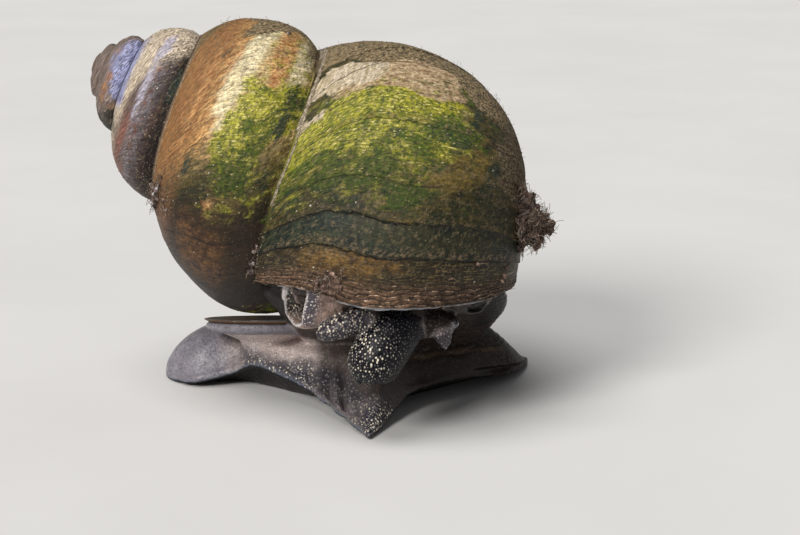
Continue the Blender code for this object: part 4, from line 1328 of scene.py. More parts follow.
def shapeSkin(points, normals):
    # what the soft forms leave out: folds, wrinkles, the mouth and the groove along the front edge
    away, kind, _ = fromBorder(points)
    x, z = points[:, 0], points[:, 2]
    low = fade(3.0, 6.5, z)
    nearEdge, frontSide = (kind == 0) * low, (kind == 1) * low
    push = 0.05 * softNoise(points, 2.6, 41) + 0.03 * softNoise(points, 0.9, 42)
    push += 0.022 * softNoise(points, 0.42, 43) * ease(-19.0, -15.0, x)
    # upright folds behind the front corner
    for place, deep, wide in ((-9.8, 0.1, 0.5), (-8.0, 0.2, 0.42), (-6.4, 0.46, 0.34), (-5.1, 0.56, 0.32)):
        lean = x + 0.18 * (z - 1.5) + 0.1 * softNoise(points, 2.0, 44)
        fold = bell(lean, place, wide) - 0.5 * bell(lean - place, 0.75, wide * 1.3)
        push -= deep * fold * nearEdge * fade(1.6, 4.2, away) * (0.25 + 0.75 * ease(0.1, 0.7, away))
    # fine level wrinkles on the front half, and the groove behind the front edge
    level = z + 0.12 * x + 0.3 * softNoise(points, 3.0, 45)
    front = ease(2.0, 5.0, x) * fade(11.5, 13.0, z)
    push += 0.028 * np.sin(level * 2 * math.pi / 0.55) * front * ease(0.9, 1.6, away)
    groove = away - 0.95 - 0.18 * np.sin(x * 1.9) - 0.15 * softNoise(points, 1.3, 46)
    faded = frontSide * fade(7.5, 10.0, x) * ease(-2.5, -0.5, x)
    push -= 0.16 * bell(groove, 0, 0.17) * faded
    push += 0.06 * bell(groove, -0.35, 0.2) * faded
    rolled = bell(away, 0, 0.5) * nearEdge
    push += 0.05 * rolled
    # the snout's rings, and its mouth, an upright slit at the tip
    gap, along = nearLine(points, limbs["snout"])
    onSnout = fade(0.25, 0.8, gap) * ease(0.12, 0.4, along)
    push += 0.035 * np.sin(along * 2 * math.pi * 9) * onSnout * fade(0.75, 0.95, along)
    across, inward, up = (points - fleshSizes["mouthMiddle"]).T
    slit = np.exp(-(across / 0.16) ** 2 - (inward / 1.0) ** 2 - (up / 0.95) ** 2)
    lips = np.exp(-((np.abs(across) - 0.42) / 0.2) ** 2 - (inward / 1.1) ** 2 - (up / 1.1) ** 2)
    push += 0.1 * lips - 0.32 * slit
    for name in ("tentacleRight", "tentacleLeft"):
        gap, along = nearLine(points, limbs[name])
        push += 0.03 * np.sin(along * 2 * math.pi * 8) * fade(0.2, 0.5, gap) * ease(0.2, 0.4, along)
    return points + normals * push[:, None]


def markSkin(obj):
    # masks that the skin's material reads
    points = getPoints(obj) / mm - aimInRow
    normals = getNormals(obj)
    away, kind, above = fromBorder(points)
    x, y, z = points.T
    stray = softNoise(points, 1.6, 51)
    low = fade(3.2, 6.0, z)
    snoutGap, snoutAlong = nearLine(points, limbs["snout"])
    rightGap, rightAlong = nearLine(points, limbs["tentacleRight"])
    leftGap, leftAlong = nearLine(points, limbs["tentacleLeft"])
    tentacle = np.maximum(fade(0.15, 0.35, rightGap) * ease(0.05, 0.2, rightAlong),
                          fade(0.15, 0.35, leftGap) * ease(0.1, 0.3, leftAlong))
    lobe = np.hypot((x + 13.0) / 6.3, (y - 3.0) / 5.1)
    lobe = fade(1.0, 1.04, lobe) * between(z + 0.21 * (y - 3.0), 5.5, 7.0, 0.08)
    snout = fade(0.3, 0.55, snoutGap) * ease(0.02, 0.14, snoutAlong) * (1 - tentacle)
    onRight, hollowRight, deepRight, roundRight = inLappet(points, lappets["right"])
    onLeft, hollowLeft, deepLeft, roundLeft = inLappet(points, lappets["left"])
    lappet = np.clip(onRight + onLeft, 0, 1) * (1 - snout) * (1 - tentacle)
    hollow = np.clip(hollowRight + hollowLeft, 0, 1) * (1 - 0.7 * bell(z, 10.5, 0.7)) * lappet
    plain = (1 - snout) * (1 - lappet) * (1 - tentacle)
    tail = fade(-18.5, -14.5, x + 0.35 * (z - 3)) * (1 - lappet)
    corner = np.exp(-((x + 2.2) / 2.2) ** 2 - ((z - 1.0) / 1.7) ** 2) * ease(-7.5, -9.0, y)
    flank = (kind == 0) * fade(1.7, 3.0, away + 0.6 * stray) * low * ease(-17.0, -14.5, x)
    flank *= fade(4.0, 4.8, z + 0.4 * stray)
    flank = np.maximum(flank * (1 - 0.45 * ease(-9.0, -7.4, x + 0.5 * stray)), corner) * plain
    # painted shadow: the neck under the shell, the flesh below the right lappet, and in front the flesh
    # beneath the snout
    neck = np.maximum(ease(7.0, 8.2, z), ease(5.6, 6.5, z) * ease(-10.8, -9.6, x)) * ease(-16.0, -15.0, x)
    snoutShadow = ease(-9.4, -7.2, x + 0.6 * stray) * (0.62 + 0.38 * ease(1.3, 3.4, z + 0.6 * stray))
    neck = np.maximum(neck, 0.92 * snoutShadow) * plain
    # painted light: a pale pool on the flank under the shell, which lies in shadow
    bright = np.exp(-((x + 12.4) / 3.4) ** 2 - ((z - 5.2) / 1.3) ** 2) * plain * (1 - tail)
    # painted shade over the flesh towards the right
    right = ease(-0.6, 2.2, x + 0.4 * stray) * plain
    # painted shadow on down-facing skin near the floor and on the neck's sides under the shell
    under = ease(0.05, 0.35, -normals[:, 2]) * fade(2.8, 4.0, z)
    sideShadow = (1 - ease(-10.4, -9.8, x) + ease(6.2, 7.6, x)) * ease(7.4, 8.6, z) * plain
    under = np.maximum(under, sideShadow)
    lit = np.exp(-((x + 2.9) / 2.2) ** 2 - ((z - 9.0) / 2.2) ** 2)
    grainy = snout + 0.95 * tentacle + 0.65 * flank + 0.9 * corner + 0.5 * hollow + 0.25 * onRight
    # how pale the grains are: their own share, with painted light on the snout's lit part and the
    # tentacles' upper sides, and painted shade dimming them towards the right
    pale = 0.45 * corner + snout * (0.15 + 0.8 * lit) * (1 - 0.6 * ease(-1.6, 1.2, x))
    pale = pale + tentacle * (0.35 + 0.6 * ease(-0.3, 0.7, normals[:, 2]))
    pale = pale + (0.9 - 0.5 * ease(-9.0, -7.4, x)) * flank + 0.5 * hollow
    shares = {
        "borderAway": away, "rimHighlight": bell(above, 0.16, 0.17) * (away < 0.8) * (kind == 0) * low,
        "frontSide": (kind == 1) * low * fade(8.5, 11.0, x) * ease(-2.6, -1.0, x),
        "snout": snout, "lit": lit, "tentacle": tentacle,
        "tip": ease(0.75, 1.0, np.where(rightGap < leftGap, rightAlong, leftAlong)) * tentacle,
        "lappet": lappet, "hollow": hollow, "lappetRim": fade(0.0, 0.09, deepRight) * onRight,
        "lappetSpeck": onRight * ease(0.55, 0.7, roundRight) * fade(0.25, 0.55,
        deepRight) * (1 - hollowRight),
        "lobe": lobe, "tail": tail, "flank": flank, "neck": neck, "right": right, "under": under,
        "shaded": ease(1.5, 4.5, x),
        "bright": bright,
        "pustules": np.clip(grainy, 0, 1) * (normals[:, 2] > -0.8) * (1 - under) * (1 - 0.6 * ease(2.5, 4.5,
        x)),
        # fading towards the right in painted shade
        "pale": np.clip(pale, 0, 1) * (1 - 0.8 * ease(1.5, 3.5, x)),
    }
    for name, values in shares.items():
        setFloats(obj, name, values)


def makeSkin():
    head = makeBall("head", fleshSizes["headMiddle"], fleshSizes["headHalf"])
    parts = [makeFoot(), makeNeck(), head, makeLobe(), makeMantle()]
    parts += [makeBall("eyeBump", bump[:3], (bump[3],) * 3, 12, 20) for bump in fleshSizes["eyeBumps"]]
    parts += [makeLimb(name, path) for name, path in limbs.items()]
    parts += [makeLappet(sizes) for sizes in lappets.values()]
    for part in parts:
        faceOut(part)
    skin = coverParts("skin", parts, fleshSizes["voxel"])
    edges = np.zeros(len(skin.data.edges) * 2, np.int32)
    skin.data.edges.foreach_get("vertices", edges)
    points = relaxPoints(getPoints(skin), edges.reshape(-1, 2), 9, 0.5)
    setPoints(skin, points)
    shaped = toRow(shapeSkin(points / mm - aimInRow, getNormals(skin)))
    shaped[:, 2] = np.maximum(shaped[:, 2], 0.0)
    # fewer faces where the skin is flat, weighed up in millimetres because metres are too small for it
    setPoints(skin, shaped / mm)
    applyModifier(skin, "DECIMATE", ratio=min(1.0, fleshSizes["faces"] / (2 * len(skin.data.polygons))))
    setPoints(skin, getPoints(skin) * mm)
    return skin


def makeFleshMaterial():
    material, tree, shader = newMaterial("snailFlesh", 0.35)
    place = millimetres(tree)
    read = {name: pieceValue(tree, name) for name in (
        "borderAway", "rimHighlight", "frontSide", "snout", "lit", "tentacle", "tip", "lappet", "hollow",
        "lappetRim", "lappetSpeck", "tail", "flank", "neck", "right", "under", "lobe", "shaded", "bright")}
    cloud = noiseOf(place, 0.7, 4.0, 0.6)
    fine = noiseOf(place, 3.2, 4.0, 0.65)

    def cells(scale, low, high, vector=place):    # pale grains in a dark net
        found = addNode(tree, "ShaderNodeTexVoronoi", Vector=vector, Scale=scale)
        return fall(found.outputs["Distance"], low, high)

    small = cells(3.6, 0.22, 0.48)
    upright = cells(2.6, 0.2, 0.5, stretch(place, 1.0, 1.0, 0.62))
    colour = blend((0.4, 0.325, 0.3), (0.62, 0.52, 0.49), cloud, 0.35, 0.65)
    colour = lay(colour, (0.2, 0.15, 0.13), times(rise(fine, 0.52, 0.64), 0.8))
    speck = lay(colour, (0.74, 0.65, 0.6), small)
    colour = blend(colour, speck, cloud, 0.4, 0.6)
    # painted light on the flank under the shell
    colour = lay(colour, lay((0.6, 0.5, 0.47), (0.94, 0.86, 0.84), small), times(read["bright"], 0.9))
    smooth = blend((0.185, 0.17, 0.195), (0.29, 0.27, 0.305), cloud, 0.3, 0.7)
    smooth = lay(smooth, (0.105, 0.095, 0.105), times(rise(fine, 0.48, 0.64), 0.6))
    colour = lay(colour, smooth, read["tail"])
    net = lay((0.005, 0.013, 0.036), (0.4, 0.385, 0.4), cells(
        2.6, 0.12, 0.36, stretch(place, 1.0, 1.0, 0.62)))
    net = lay(net, (0.52, 0.41, 0.32), times(cells(4.4, 0.1, 0.34), rise(cloud, 0.46, 0.56)))
    # painted shadow on the neck and beneath the snout
    shade = blend((0.009, 0.007, 0.006), (0.042, 0.03, 0.024), fine, 0.4, 0.7)
    shade = lay(shade, (0.075, 0.058, 0.048), times(small, rise(cloud, 0.45, 0.6)))
    colour = lay(colour, shade, times(read["neck"], 0.94))
    colour = lay(colour, net, times(read["flank"], 0.88))
    # painted shade, dark brown with pale grains, over the right side
    brown = lay((0.016, 0.011, 0.009), (0.07, 0.05, 0.042), small)
    colour = lay(colour, brown, times(read["right"], 0.9))

    inky = lay((0.004, 0.004, 0.007), (0.04, 0.036, 0.038), times(small, timesPlus(read["lit"], 0.5, 0.15)))
    colour = lay(colour, inky, read["snout"])
    ringed = lay((0.026, 0.021, 0.03), (0.28, 0.235, 0.21), cells(3.4, 0.15, 0.4))
    ringed = lay(ringed, (0.5, 0.26, 0.13), times(read["tip"], 0.55))
    colour = lay(colour, ringed, read["tentacle"])
    outer = blend((0.145, 0.092, 0.072), (0.4, 0.275, 0.225), cloud, 0.35, 0.65)
    outer = lay(outer, (0.52, 0.41, 0.37), times(small, 0.3))
    speckled = lay((0.04, 0.038, 0.055), (0.72, 0.64, 0.6), cells(4.2, 0.16, 0.42))
    outer = lay(outer, speckled, times(read["lappetSpeck"], 0.9))
    # painted shade, near black, in the lappet's hollow, with its own pale grains
    inner = lay((0.008, 0.006, 0.005), (0.5, 0.4, 0.28), cells(4.0, 0.1, 0.34))
    outer = lay(outer, inner, read["hollow"])
    outer = lay(outer, (0.62, 0.58, 0.57), times(read["lappetRim"], 0.8))
    outer = shadeBy(outer, read["shaded"], 1.0, 0.12)
    colour = lay(colour, outer, read["lappet"])

    colour = lay(colour, smooth, read["lobe"])
    # a painted bluish highlight along the foot's lower rim
    colour = lay(colour, (0.15, 0.195, 0.27), times(read["rimHighlight"], 0.75))
    band = times(read["frontSide"], fall(read["borderAway"], 0.75, 1.05))
    colour = lay(colour, (0.048, 0.042, 0.04), times(band, 0.8))
    thread = times(read["frontSide"], near(read["borderAway"], 1.05, 0.05, 0.22))
    colour = lay(colour, (0.14, 0.09, 0.055), times(thread, 0.8))
    # painted shadow on the undersides and on the neck's sides
    colour = lay(colour, (0.012, 0.01, 0.009), times(read["under"], 0.97))
    colour = shadeBy(colour, rise(noiseOf(place, 6.0, 4.0, 0.7), 0.3, 0.7), 0.78, 1.18)

    dull = larger(larger(read["neck"], read["right"]), read["under"])
    dull = larger(dull, times(read["snout"], 0.7))
    tree.links.new(timesPlus(dull, -0.34, 0.42), shader.inputs["Specular IOR Level"])
    shader.inputs["Subsurface Weight"].default_value = 0.12
    shader.inputs["Subsurface Radius"].default_value = (1.0, 0.6, 0.5)
    shader.inputs["Subsurface Scale"].default_value = 0.5 * mm
    height = timesPlus(small, 0.45, times(fine, 0.6))
    height = timesPlus(times(upright, read["flank"]), 0.7, height)
    finishMaterial(shader, colour, timesPlus(fine, 0.3, 0.22), height, 0.7, 0.09)
    return material


# Wart-like grains that stand out of the skin, scattered where a mask asks for them
pustuleSizes = {
    "radius": 0.092,
    "spacing": 0.205,
    "flatness": 0.45,
    "seed": 4,
}


def drawValue(tree, low, high, seed):    # a random number for each point, or a random vector
    if isinstance(low, tuple):
        settings, inputs, result = {"data_type": "FLOAT_VECTOR"}, {"_0": low, "_1": high}, 0
    else:
        settings, inputs, result = {"data_type": "FLOAT"}, {"_2": low, "_3": high}, 1
    return addNode(tree, "FunctionNodeRandomValue", settings, Seed=seed, **inputs).outputs[result]


def makeScatterTree(name, inputs, mask, density, shapeOf):
    # sets a small shape where a mask asks for it; shapeOf gives the shape, its rotation and its scale
    tree, given, end = newShapeTree(name, [
        *inputs, ("Spacing", "Float", 0.2 * mm), ("Mask", "String", mask), ("Density", "Float", density),
        ("Seed", "Int", 1)])
    spread = addNode(tree, "GeometryNodeDistributePointsOnFaces", {"distribute_method": "POISSON"},
                     Mesh=given["Geometry"], Distance_Min=given["Spacing"], Density_Max=given["Density"],
                     Density_Factor=readAttribute(tree, given["Mask"]), Seed=given["Seed"])
    shape, rotation, scale = shapeOf(tree, given, spread)
    placed = addNode(tree, "GeometryNodeInstanceOnPoints", Points=spread.outputs[0], Instance=shape,
                     Rotation=rotation, Scale=scale)
    marked = addNode(tree, "GeometryNodeStoreNamedAttribute", {"data_type": "FLOAT", "domain": "INSTANCE"},
                     Geometry=placed.outputs[0], Name="tint",
                     Value=drawValue(tree, 0.0, 1.0, given["Seed"]))
    return finishTree(given, end, marked.outputs[0])


def pustuleShape(tree, given, spread):    # a flat dome that follows the skin
    dome = addNode(tree, "GeometryNodeMeshUVSphere", Radius=given["Radius"], Segments=8, Rings=4)
    drawnOut = drawValue(tree, 0.9, 1.6, calc("ADD", given["Seed"], 7.0))
    grown = times(drawValue(tree, 0.55, 1.2, given["Seed"]),
        timesPlus(readAttribute(tree, "pale"), 0.45, 0.62))
    scale = addNode(tree, "ShaderNodeCombineXYZ", X=grown, Y=times(grown, drawnOut),
                    Z=times(grown, given["Flatness"]))
    return dome.outputs[0], spread.outputs["Rotation"], scale.outputs[0]


def makePustuleMaterial():
    material, tree, shader = newMaterial("palePustules", 0.42)
    place = millimetres(tree)
    tint = pieceValue(tree, "tint")
    colour = blend((0.14, 0.13, 0.14), (0.5, 0.44, 0.37), tint, 0.05, 0.6)
    colour = blend(colour, (0.88, 0.8, 0.64), tint, 0.6, 0.85)
    colour = lay(colour, (0.22, 0.16, 0.12), times(rise(noiseOf(place, 0.6, 3.0), 0.5, 0.7), 0.5))
    # a grain's paleness carries the skin's painted light and painted shade as well as its own colour
    share = rise(pieceValue(tree, "pale"), 0.0, 0.9)
    colour = lay((0.02, 0.019, 0.022), colour, timesPlus(share, 0.96, 0.04))
    finishMaterial(shader, colour, None, noiseOf(place, 9.0, 2.0), 0.3, 0.03)
    return material


def scatter(name, tree, source, values):
    # grows a tree's result from a copy of the source, as a piece of its own
    piece = bpy.data.objects.new(name, source.data.copy())
    piece.data.name = name
    bpy.context.scene.collection.objects.link(piece)
    return runTree(piece, tree, values)


# Silt, lime grains and threads on the shell, and the clot of debris at its right edge
debrisSizes = {
    "grain": 0.085,
    "grainSpacing": 0.125,
    "threadLength": 0.5,
    "threadRadius": 0.014,
    "threadSpacing": 0.17,
    "seed": 11,    # the lumps' own seeds follow ten after it
    # blobs of clotted silt, as place and radius
    "lip": ((-7.9, -14.5, 14.9, 0.3), (-7.3, -14.8, 15.2, 0.4), (-7.3, -14.8, 14.6, 0.38),
        (-6.6, -15.1, 15.5, 0.45), (-6.6, -15.0, 14.8, 0.45), (-6.0, -15.3, 15.2, 0.44),
        (-6.0, -15.3, 14.5, 0.38), (-5.5, -15.5, 15.6, 0.34), (-5.4, -15.5, 14.9, 0.36),
        (-6.6, -15.1, 16.2, 0.22), (-6.0, -15.3, 16.0, 0.3), (-5.2, -15.7, 16.2, 0.2),
        (-7.8, -14.4, 15.7, 0.18), (-8.3, -14.2, 14.9, 0.2), (4.6, -15.1, 15.6, 0.22),
        (4.3, -15.2, 15.5, 0.16), (4.8, -15.0, 15.2, 0.16), (1.4, -16.2, 16.0, 0.13),
        (-0.6, -16.4, 17.4, 0.13), (9.6, -11.3, 14.8, 0.3), (10.0, -10.9, 15.3, 0.26),
        (9.3, -11.6, 14.4, 0.24), (6.9, -13.7, 16.6, 0.14), (5.0, -15.0, 14.0, 0.14)),
    "suture": ((-21.9, -6.0, 22.8, 0.22), (-22.2, -5.5, 22.0, 0.34), (-22.4, -5.0, 21.4, 0.45),
        (-22.6, -4.4, 20.6, 0.5), (-22.8, -3.6, 19.7, 0.5), (-23.2, -2.4, 21.2, 0.35),
        (-23.4, -2.0, 20.4, 0.4), (-22.0, -6.0, 20.6, 0.28), (-21.8, -6.4, 19.8, 0.24),
        (-23.8, -0.6, 20.2, 0.3), (-13.7, -8.4, 14.6, 0.26), (-13.6, -8.7, 15.3, 0.3),
        (-13.4, -9.1, 16.0, 0.26), (-13.2, -9.4, 16.7, 0.32), (-13.0, -9.5, 17.3, 0.26),
        (-12.8, -9.7, 17.9, 0.2), (-12.6, -9.8, 18.4, 0.18), (-10.3, -0.2, 35.3, 0.28)),
    "edge": ((11.3, -7.6, 21.9, 0.55), (11.7, -7.6, 21.2, 0.8), (11.8, -7.9, 20.2, 0.9),
        (12.3, -8.0, 19.2, 0.85), (11.9, -8.2, 18.4, 0.9), (13.1, -8.0, 18.5, 0.6),
        (11.5, -8.5, 17.5, 0.8), (12.3, -8.5, 17.1, 0.5), (11.1, -8.8, 16.6, 0.55),
        (13.9, -8.0, 18.0, 0.35), (10.9, -7.8, 20.8, 0.8), (10.8, -8.5, 18.8, 0.9),
        (12.9, -7.9, 19.3, 0.8), (13.5, -8.0, 18.9, 0.5), (12.2, -7.8, 20.3, 0.6),
        (11.0, -7.4, 22.3, 0.5), (12.6, -8.3, 17.8, 0.6)),
}


def anyWay(tree, given):
    return drawValue(tree, (0, 0, 0), (6.28,) * 3, given["Seed"])


def grainShape(tree, given, spread):
    crumb = addNode(tree, "GeometryNodeMeshIcoSphere", Radius=given["Size"], Subdivisions=1)
    scale = drawValue(tree, (0.35, 0.35, 0.25), (1.3, 1.0, 0.9), calc("ADD", given["Seed"], 3.0))
    return crumb.outputs[0], anyWay(tree, given), scale


def threadShape(tree, given, spread):    # a thin bent tube
    reach = given["Length"]
    middle = addNode(tree, "ShaderNodeCombineXYZ", X=times(reach, 0.35), Z=times(reach, 0.45)).outputs[0]
    far = addNode(tree, "ShaderNodeCombineXYZ", X=reach, Z=times(reach, 0.15)).outputs[0]
    arc = addNode(tree, "GeometryNodeCurveQuadraticBezier", Resolution=4, Start=(0, 0, 0), Middle=middle,
        End=far)
    profile = addNode(tree, "GeometryNodeCurvePrimitiveCircle", Resolution=3, Radius=given["Radius"])
    tube = addNode(tree, "GeometryNodeCurveToMesh", Curve=arc.outputs[0], Profile_Curve=profile.outputs[0],
                   Fill_Caps=True)
    scale = drawValue(tree, 0.3, 1.2, calc("ADD", given["Seed"], 5.0))
    return tube.outputs[0], anyWay(tree, given), scale


def makeDebrisMaterial(name, dark, middle, pale, paleShare):
    material, tree, shader = newMaterial(name, 0.85)
    place = millimetres(tree)
    tint = pieceValue(tree, "tint")
    grit = noiseOf(place, 7.0, 4.0, 0.7)
    colour = blend(dark, middle, tint, 0.1, 0.7)
    colour = blend(colour, pale, tint, 1.0 - paleShare, 1.0 - 0.7 * paleShare)
    colour = shadeBy(colour, rise(grit, 0.3, 0.7), 0.6, 1.3)
    finishMaterial(shader, colour, timesPlus(grit, 0.4, 0.5), grit)
    return material


def makeClot(name, roughness, host=None):
    # blobs, drawn to the host's surface and grown into rough lumps
    parts = []
    for x, y, z, radius in debrisSizes[name]:
        middle = np.array((x, y, z))
        if host:
            found, spot, normal, face = host.closest_point_on_mesh(Vector(toRow(middle[None])[0]))
            middle = np.array(spot) / mm - aimInRow + 0.2 * radius * np.array(normal)
        parts.append(makeBall("blob", middle, (radius,) * 3, 14, 20))
    clot = coverParts(name + "Clot", parts, 0.1 if roughness > 0.9 else 0.06)
    points, normals = getPoints(clot) / mm, getNormals(clot)
    push = 0.3 * softNoise(points, 1.1, 61) + 0.34 * softNoise(points, 0.5, 62) + 0.3 * softNoise(points,
        0.26, 63)
    push = roughness * (push - 0.25)
    setPoints(clot, (points + normals * push[:, None]) * mm)
    setFloats(clot, "tint", np.clip(0.45 + 0.5 * softNoise(points, 0.35, 64) + 0.4 * push / roughness, 0,
        0.99))
    setFloats(clot, "crumbs", np.full(len(points), 0.45))
    setFloats(clot, "fuzz", np.full(len(points), 1.0))
    return clot


# Operculum and eyes
operculumSizes = {
    "middle": (-13.0, 3.0, 6.66),
    "half": (6.2, 5.0),
    "slope": -0.21,
    "thick": 0.24,
    "rings": 13,
    "nucleus": (-0.14, 0.06),    # the rings lie round a point off the centre
}


def makeOperculum():
    sizes = operculumSizes
    rows, columns = 60, 96
    way = 2 * math.pi * np.arange(columns) / columns
    points, share = [], []
    for side in (1, -1):
        grid = np.linspace(0.02, 1.0, rows)
        for r in grid if side > 0 else grid[::-1]:
            x = sizes["nucleus"][0] * (1 - r) + r * np.cos(way)
            y = sizes["nucleus"][1] * (1 - r) + r * np.sin(way) * (1 + 0.05 * np.cos(way))
            dish = -0.34 * (1 - r**2) + 0.1 * ease(0.9, 1.0, r)
            ring = 0.035 * np.sin(r * sizes["rings"] * 2 * math.pi + 0.5 * np.sin(3 * way)) * ease(0.1, 0.3,
                r)
            half = 0.5 * sizes["thick"] * np.sqrt(np.clip(1.02 - r**12, 0.03, 1))
            x, y = x * sizes["half"][0], y * sizes["half"][1]
            z = sizes["slope"] * y + dish + (ring if side > 0 else 0) + side * half + 0.5 * sizes["thick"]
            points.append(np.stack([x, y, z], -1) + sizes["middle"])
            share.append(np.full(columns, r))
    obj = newSolid("snailOperculum", np.concatenate(points), loftFaces(2 * rows, columns))
    setFloats(obj, "ring", np.concatenate(share))
    setFloats(obj, "way", np.tile(way, 2 * rows))
    return obj


def makeOperculumMaterial():
    material, tree, shader = newMaterial("hornPlate", 0.4)
    ring = pieceValue(tree, "ring")
    place = millimetres(tree)
    bent = timesPlus(noiseOf(place, 0.5, 3.0), 0.06, ring)
    lines = addNode(tree, "ShaderNodeCombineXYZ", X=bent).outputs[0]
    fine = noiseOf(lines, 38.0, 3.0, 0.6)
    colour = blend((0.04, 0.018, 0.007), (0.16, 0.08, 0.025), fine, 0.35, 0.65)
    colour = lay(colour, (0.1, 0.085, 0.06), useGroup(clumps, Vector=place, Cover=0.35, Scale=0.6))
    colour = blend(colour, (0.13, 0.065, 0.022), ring, 0.93, 0.985)
    colour = lay(colour, (0.3, 0.25, 0.18), useGroup(grains, Vector=place, Cells=1.6, Share=0.1,
                                                                  Size=0.3))
    finishMaterial(shader, colour, timesPlus(fine, 0.3, 0.25), fine, 0.6, 0.06)
    return material


def makeEye(name, middle):
    radius = fleshSizes["eyeRadius"]
    eye = makeBall(name, middle, (radius,) * 3, 28, 40)
    outward = np.array(middle) - np.array(fleshSizes["headMiddle"])
    outward /= np.linalg.norm(outward)
    points = getPoints(eye) / mm - aimInRow - np.array(middle)
    setFloats(eye, "outward", points @ outward / radius)
    return eye


def makeEyeMaterial():
    material, tree, shader = newMaterial("snailEye", 0.06)
    outward = pieceValue(tree, "outward")
    place = millimetres(tree)
    veil = blend((0.11, 0.1, 0.11), (0.035, 0.033, 0.04), noiseOf(place, 6.0), 0.4, 0.6)
    colour = blend(veil, (0.003, 0.003, 0.004), outward, 0.42, 0.6)
    finishMaterial(shader, colour)
    shader.inputs["Coat Weight"].default_value = 1.0
    shader.inputs["Coat Roughness"].default_value = 0.03
    return material


def dressPiece(piece, material, nodes=()):
    piece.data.materials.clear()
    piece.data.materials.append(material)
    piece.data.shade_smooth()
    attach(piece, "root")
    if nodes:
        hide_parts(*nodes)


shell = makeShell()
faceOut(shell, 0.01 * mm)
shell.name = shell.data.name = "snailShell"
markShell(shell)
dressPiece(shell, shellMaterial, ["shell"])
print("shell wound:", len(shell.data.polygons), "faces")

skin = makeSkin()
skin.name = skin.data.name = "snailSkin"
markSkin(skin)
kept = ("shell", "operculum", "eye_right", "eye_left")
dressPiece(skin, makeFleshMaterial(), [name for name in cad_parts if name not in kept])
print("skin drawn:", len(skin.data.polygons), "faces")

pustuleMaterial = makePustuleMaterial()
pustuleInputs = [("Radius", "Float", 0.1 * mm), ("Flatness", "Float", 0.6)]
pustuleTree = makeScatterTree("skinPustules", pustuleInputs, "pustules", 2.4e7, pustuleShape)
pustules = scatter("skinPustules", pustuleTree, skin, {
    "Radius": pustuleSizes["radius"] * mm, "Spacing": pustuleSizes["spacing"] * mm,
    "Flatness": pustuleSizes["flatness"], "Seed": pustuleSizes["seed"], "Material": pustuleMaterial})
dressPiece(pustules, pustuleMaterial)
print("pustules set:", len(pustules.data.polygons), "faces")

# each lump's roughness, and the colours of its body, dark, middle and pale
lumps = {
    "edge": (1.0, (0.016, 0.009, 0.007), (0.085, 0.048, 0.034), (0.22, 0.145, 0.11), 0.22),
    "lip": (0.42, (0.07, 0.04, 0.028), (0.27, 0.165, 0.12), (0.46, 0.33, 0.27), 0.25),
    "suture": (0.55, (0.06, 0.038, 0.036), (0.34, 0.255, 0.23), (0.62, 0.6, 0.64), 0.35),
}
grainTree = makeScatterTree("shellCrumbs", [("Size", "Float", 0.08 * mm)], "crumbs", 3e7, grainShape)
threadInputs = [("Length", "Float", 0.8 * mm), ("Radius", "Float", 0.015 * mm)]
threadTree = makeScatterTree("siltThreads", threadInputs, "fuzz", 5e6, threadShape)
grainMaterial = makeDebrisMaterial("siltGrains", (0.045, 0.028, 0.017), (0.2, 0.14, 0.088),
                                   (0.42, 0.37, 0.31), 0.14)
threadMaterial = makeDebrisMaterial("siltThreads", (0.04, 0.024, 0.016), (0.17, 0.11, 0.074),
    (0.38, 0.32, 0.25), 0.2)
hosts = [(shell, "shell", debrisSizes["seed"])]
for number, (label, (roughness, dark, middle, pale, share)) in enumerate(lumps.items()):
    lump = makeClot(label, roughness, None if label == "edge" else shell)
    dressPiece(lump, makeDebrisMaterial(label + "Silt", dark, middle, pale, share))
    print(label, "silt:", len(lump.data.polygons), "faces")
    hosts.append((lump, label, debrisSizes["seed"] + 10 + number))
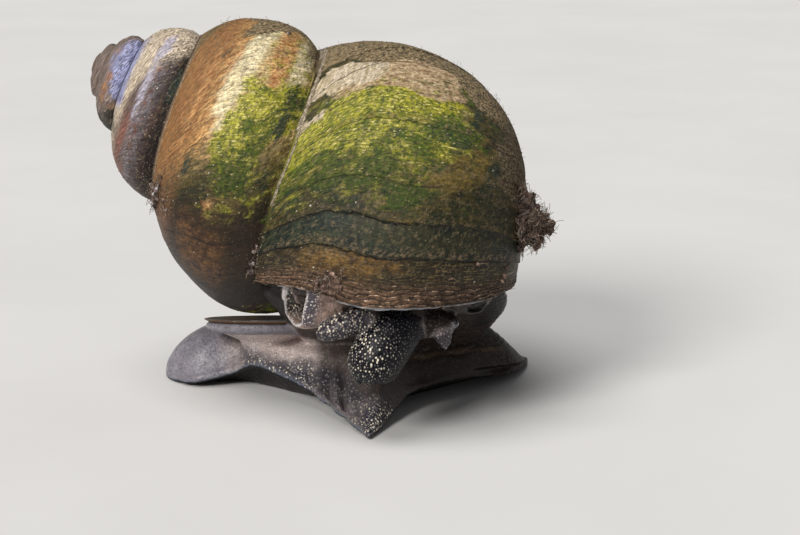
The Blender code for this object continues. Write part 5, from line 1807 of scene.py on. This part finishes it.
for host, label, seed in hosts:
    fluffy = 1.0 if host == shell else 1.6
    piece = scatter(label + "Crumbs", grainTree, host, {
        "Size": debrisSizes["grain"] * mm, "Spacing": debrisSizes["grainSpacing"] * mm,
        "Seed": seed, "Material": grainMaterial})
    dressPiece(piece, grainMaterial)
    print(label, "crumbs:", len(piece.data.polygons), "faces")
    piece = scatter(label + "Threads", threadTree, host, {
        "Length": debrisSizes["threadLength"] * fluffy * mm,
        "Radius": debrisSizes["threadRadius"] * fluffy * mm,
        "Spacing": debrisSizes["threadSpacing"] / fluffy * mm, "Density": 5e6 * fluffy**4, "Seed": seed,
        "Material": threadMaterial})
    dressPiece(piece, threadMaterial)
    print(label, "threads:", len(piece.data.polygons), "faces")

operculum = makeOperculum()
dressPiece(operculum, makeOperculumMaterial(), ["operculum"])
eyeMaterial = makeEyeMaterial()
for name, node in (("eyeRight", "eye_right"), ("eyeLeft", "eye_left")):
    dressPiece(makeEye(name, fleshSizes[name]), eyeMaterial, [node])
print("operculum and eyes made")


# Floor and lights
lights = [
    # name, way it shines from, power, softness in degrees, colour
    ("key", (-0.66, -0.9, 0.74), 2.1, 20, (1.0, 0.975, 0.94)),
    ("top", (-0.25, -0.22, 1.0), 1.7, 34, (1.0, 0.985, 0.97)),
]


def addLights():
    for name, way, power, softness, colour in lights:
        data = bpy.data.lights.new(name, "SUN")
        data.energy, data.angle, data.color = power, math.radians(softness), colour
        lamp = bpy.data.objects.new(name, data)
        bpy.context.scene.collection.objects.link(lamp)
        lamp.rotation_euler = Vector(way).to_track_quat("Z", "Y").to_euler()
    world = bpy.data.worlds.new("softRoom")
    world.use_nodes = True
    world.node_tree.nodes["Background"].inputs["Color"].default_value = (0.84, 0.85, 0.87, 1)
    world.node_tree.nodes["Background"].inputs["Strength"].default_value = 0.2
    bpy.context.scene.world = world


def addFloor():
    floor = newMesh("floor", [(-2, -2, 0), (2, -2, 0), (2, 2, 0), (-2, 2, 0)], [(0, 1, 2, 3)])
    material, tree, shader = newMaterial("paleFloor", 0.85)
    spot = addNode(tree, "ShaderNodeTexCoord").outputs["Object"]
    shade = rise(noiseOf(spot, 30.0, 3.0), 0.3, 0.7)
    finishMaterial(shader, lay((0.7, 0.695, 0.68), (0.73, 0.725, 0.71), shade))
    floor.data.materials.append(material)


addLights()
addFloor()
bpy.context.scene.view_settings.view_transform = "Standard"
print("floor and lights set")
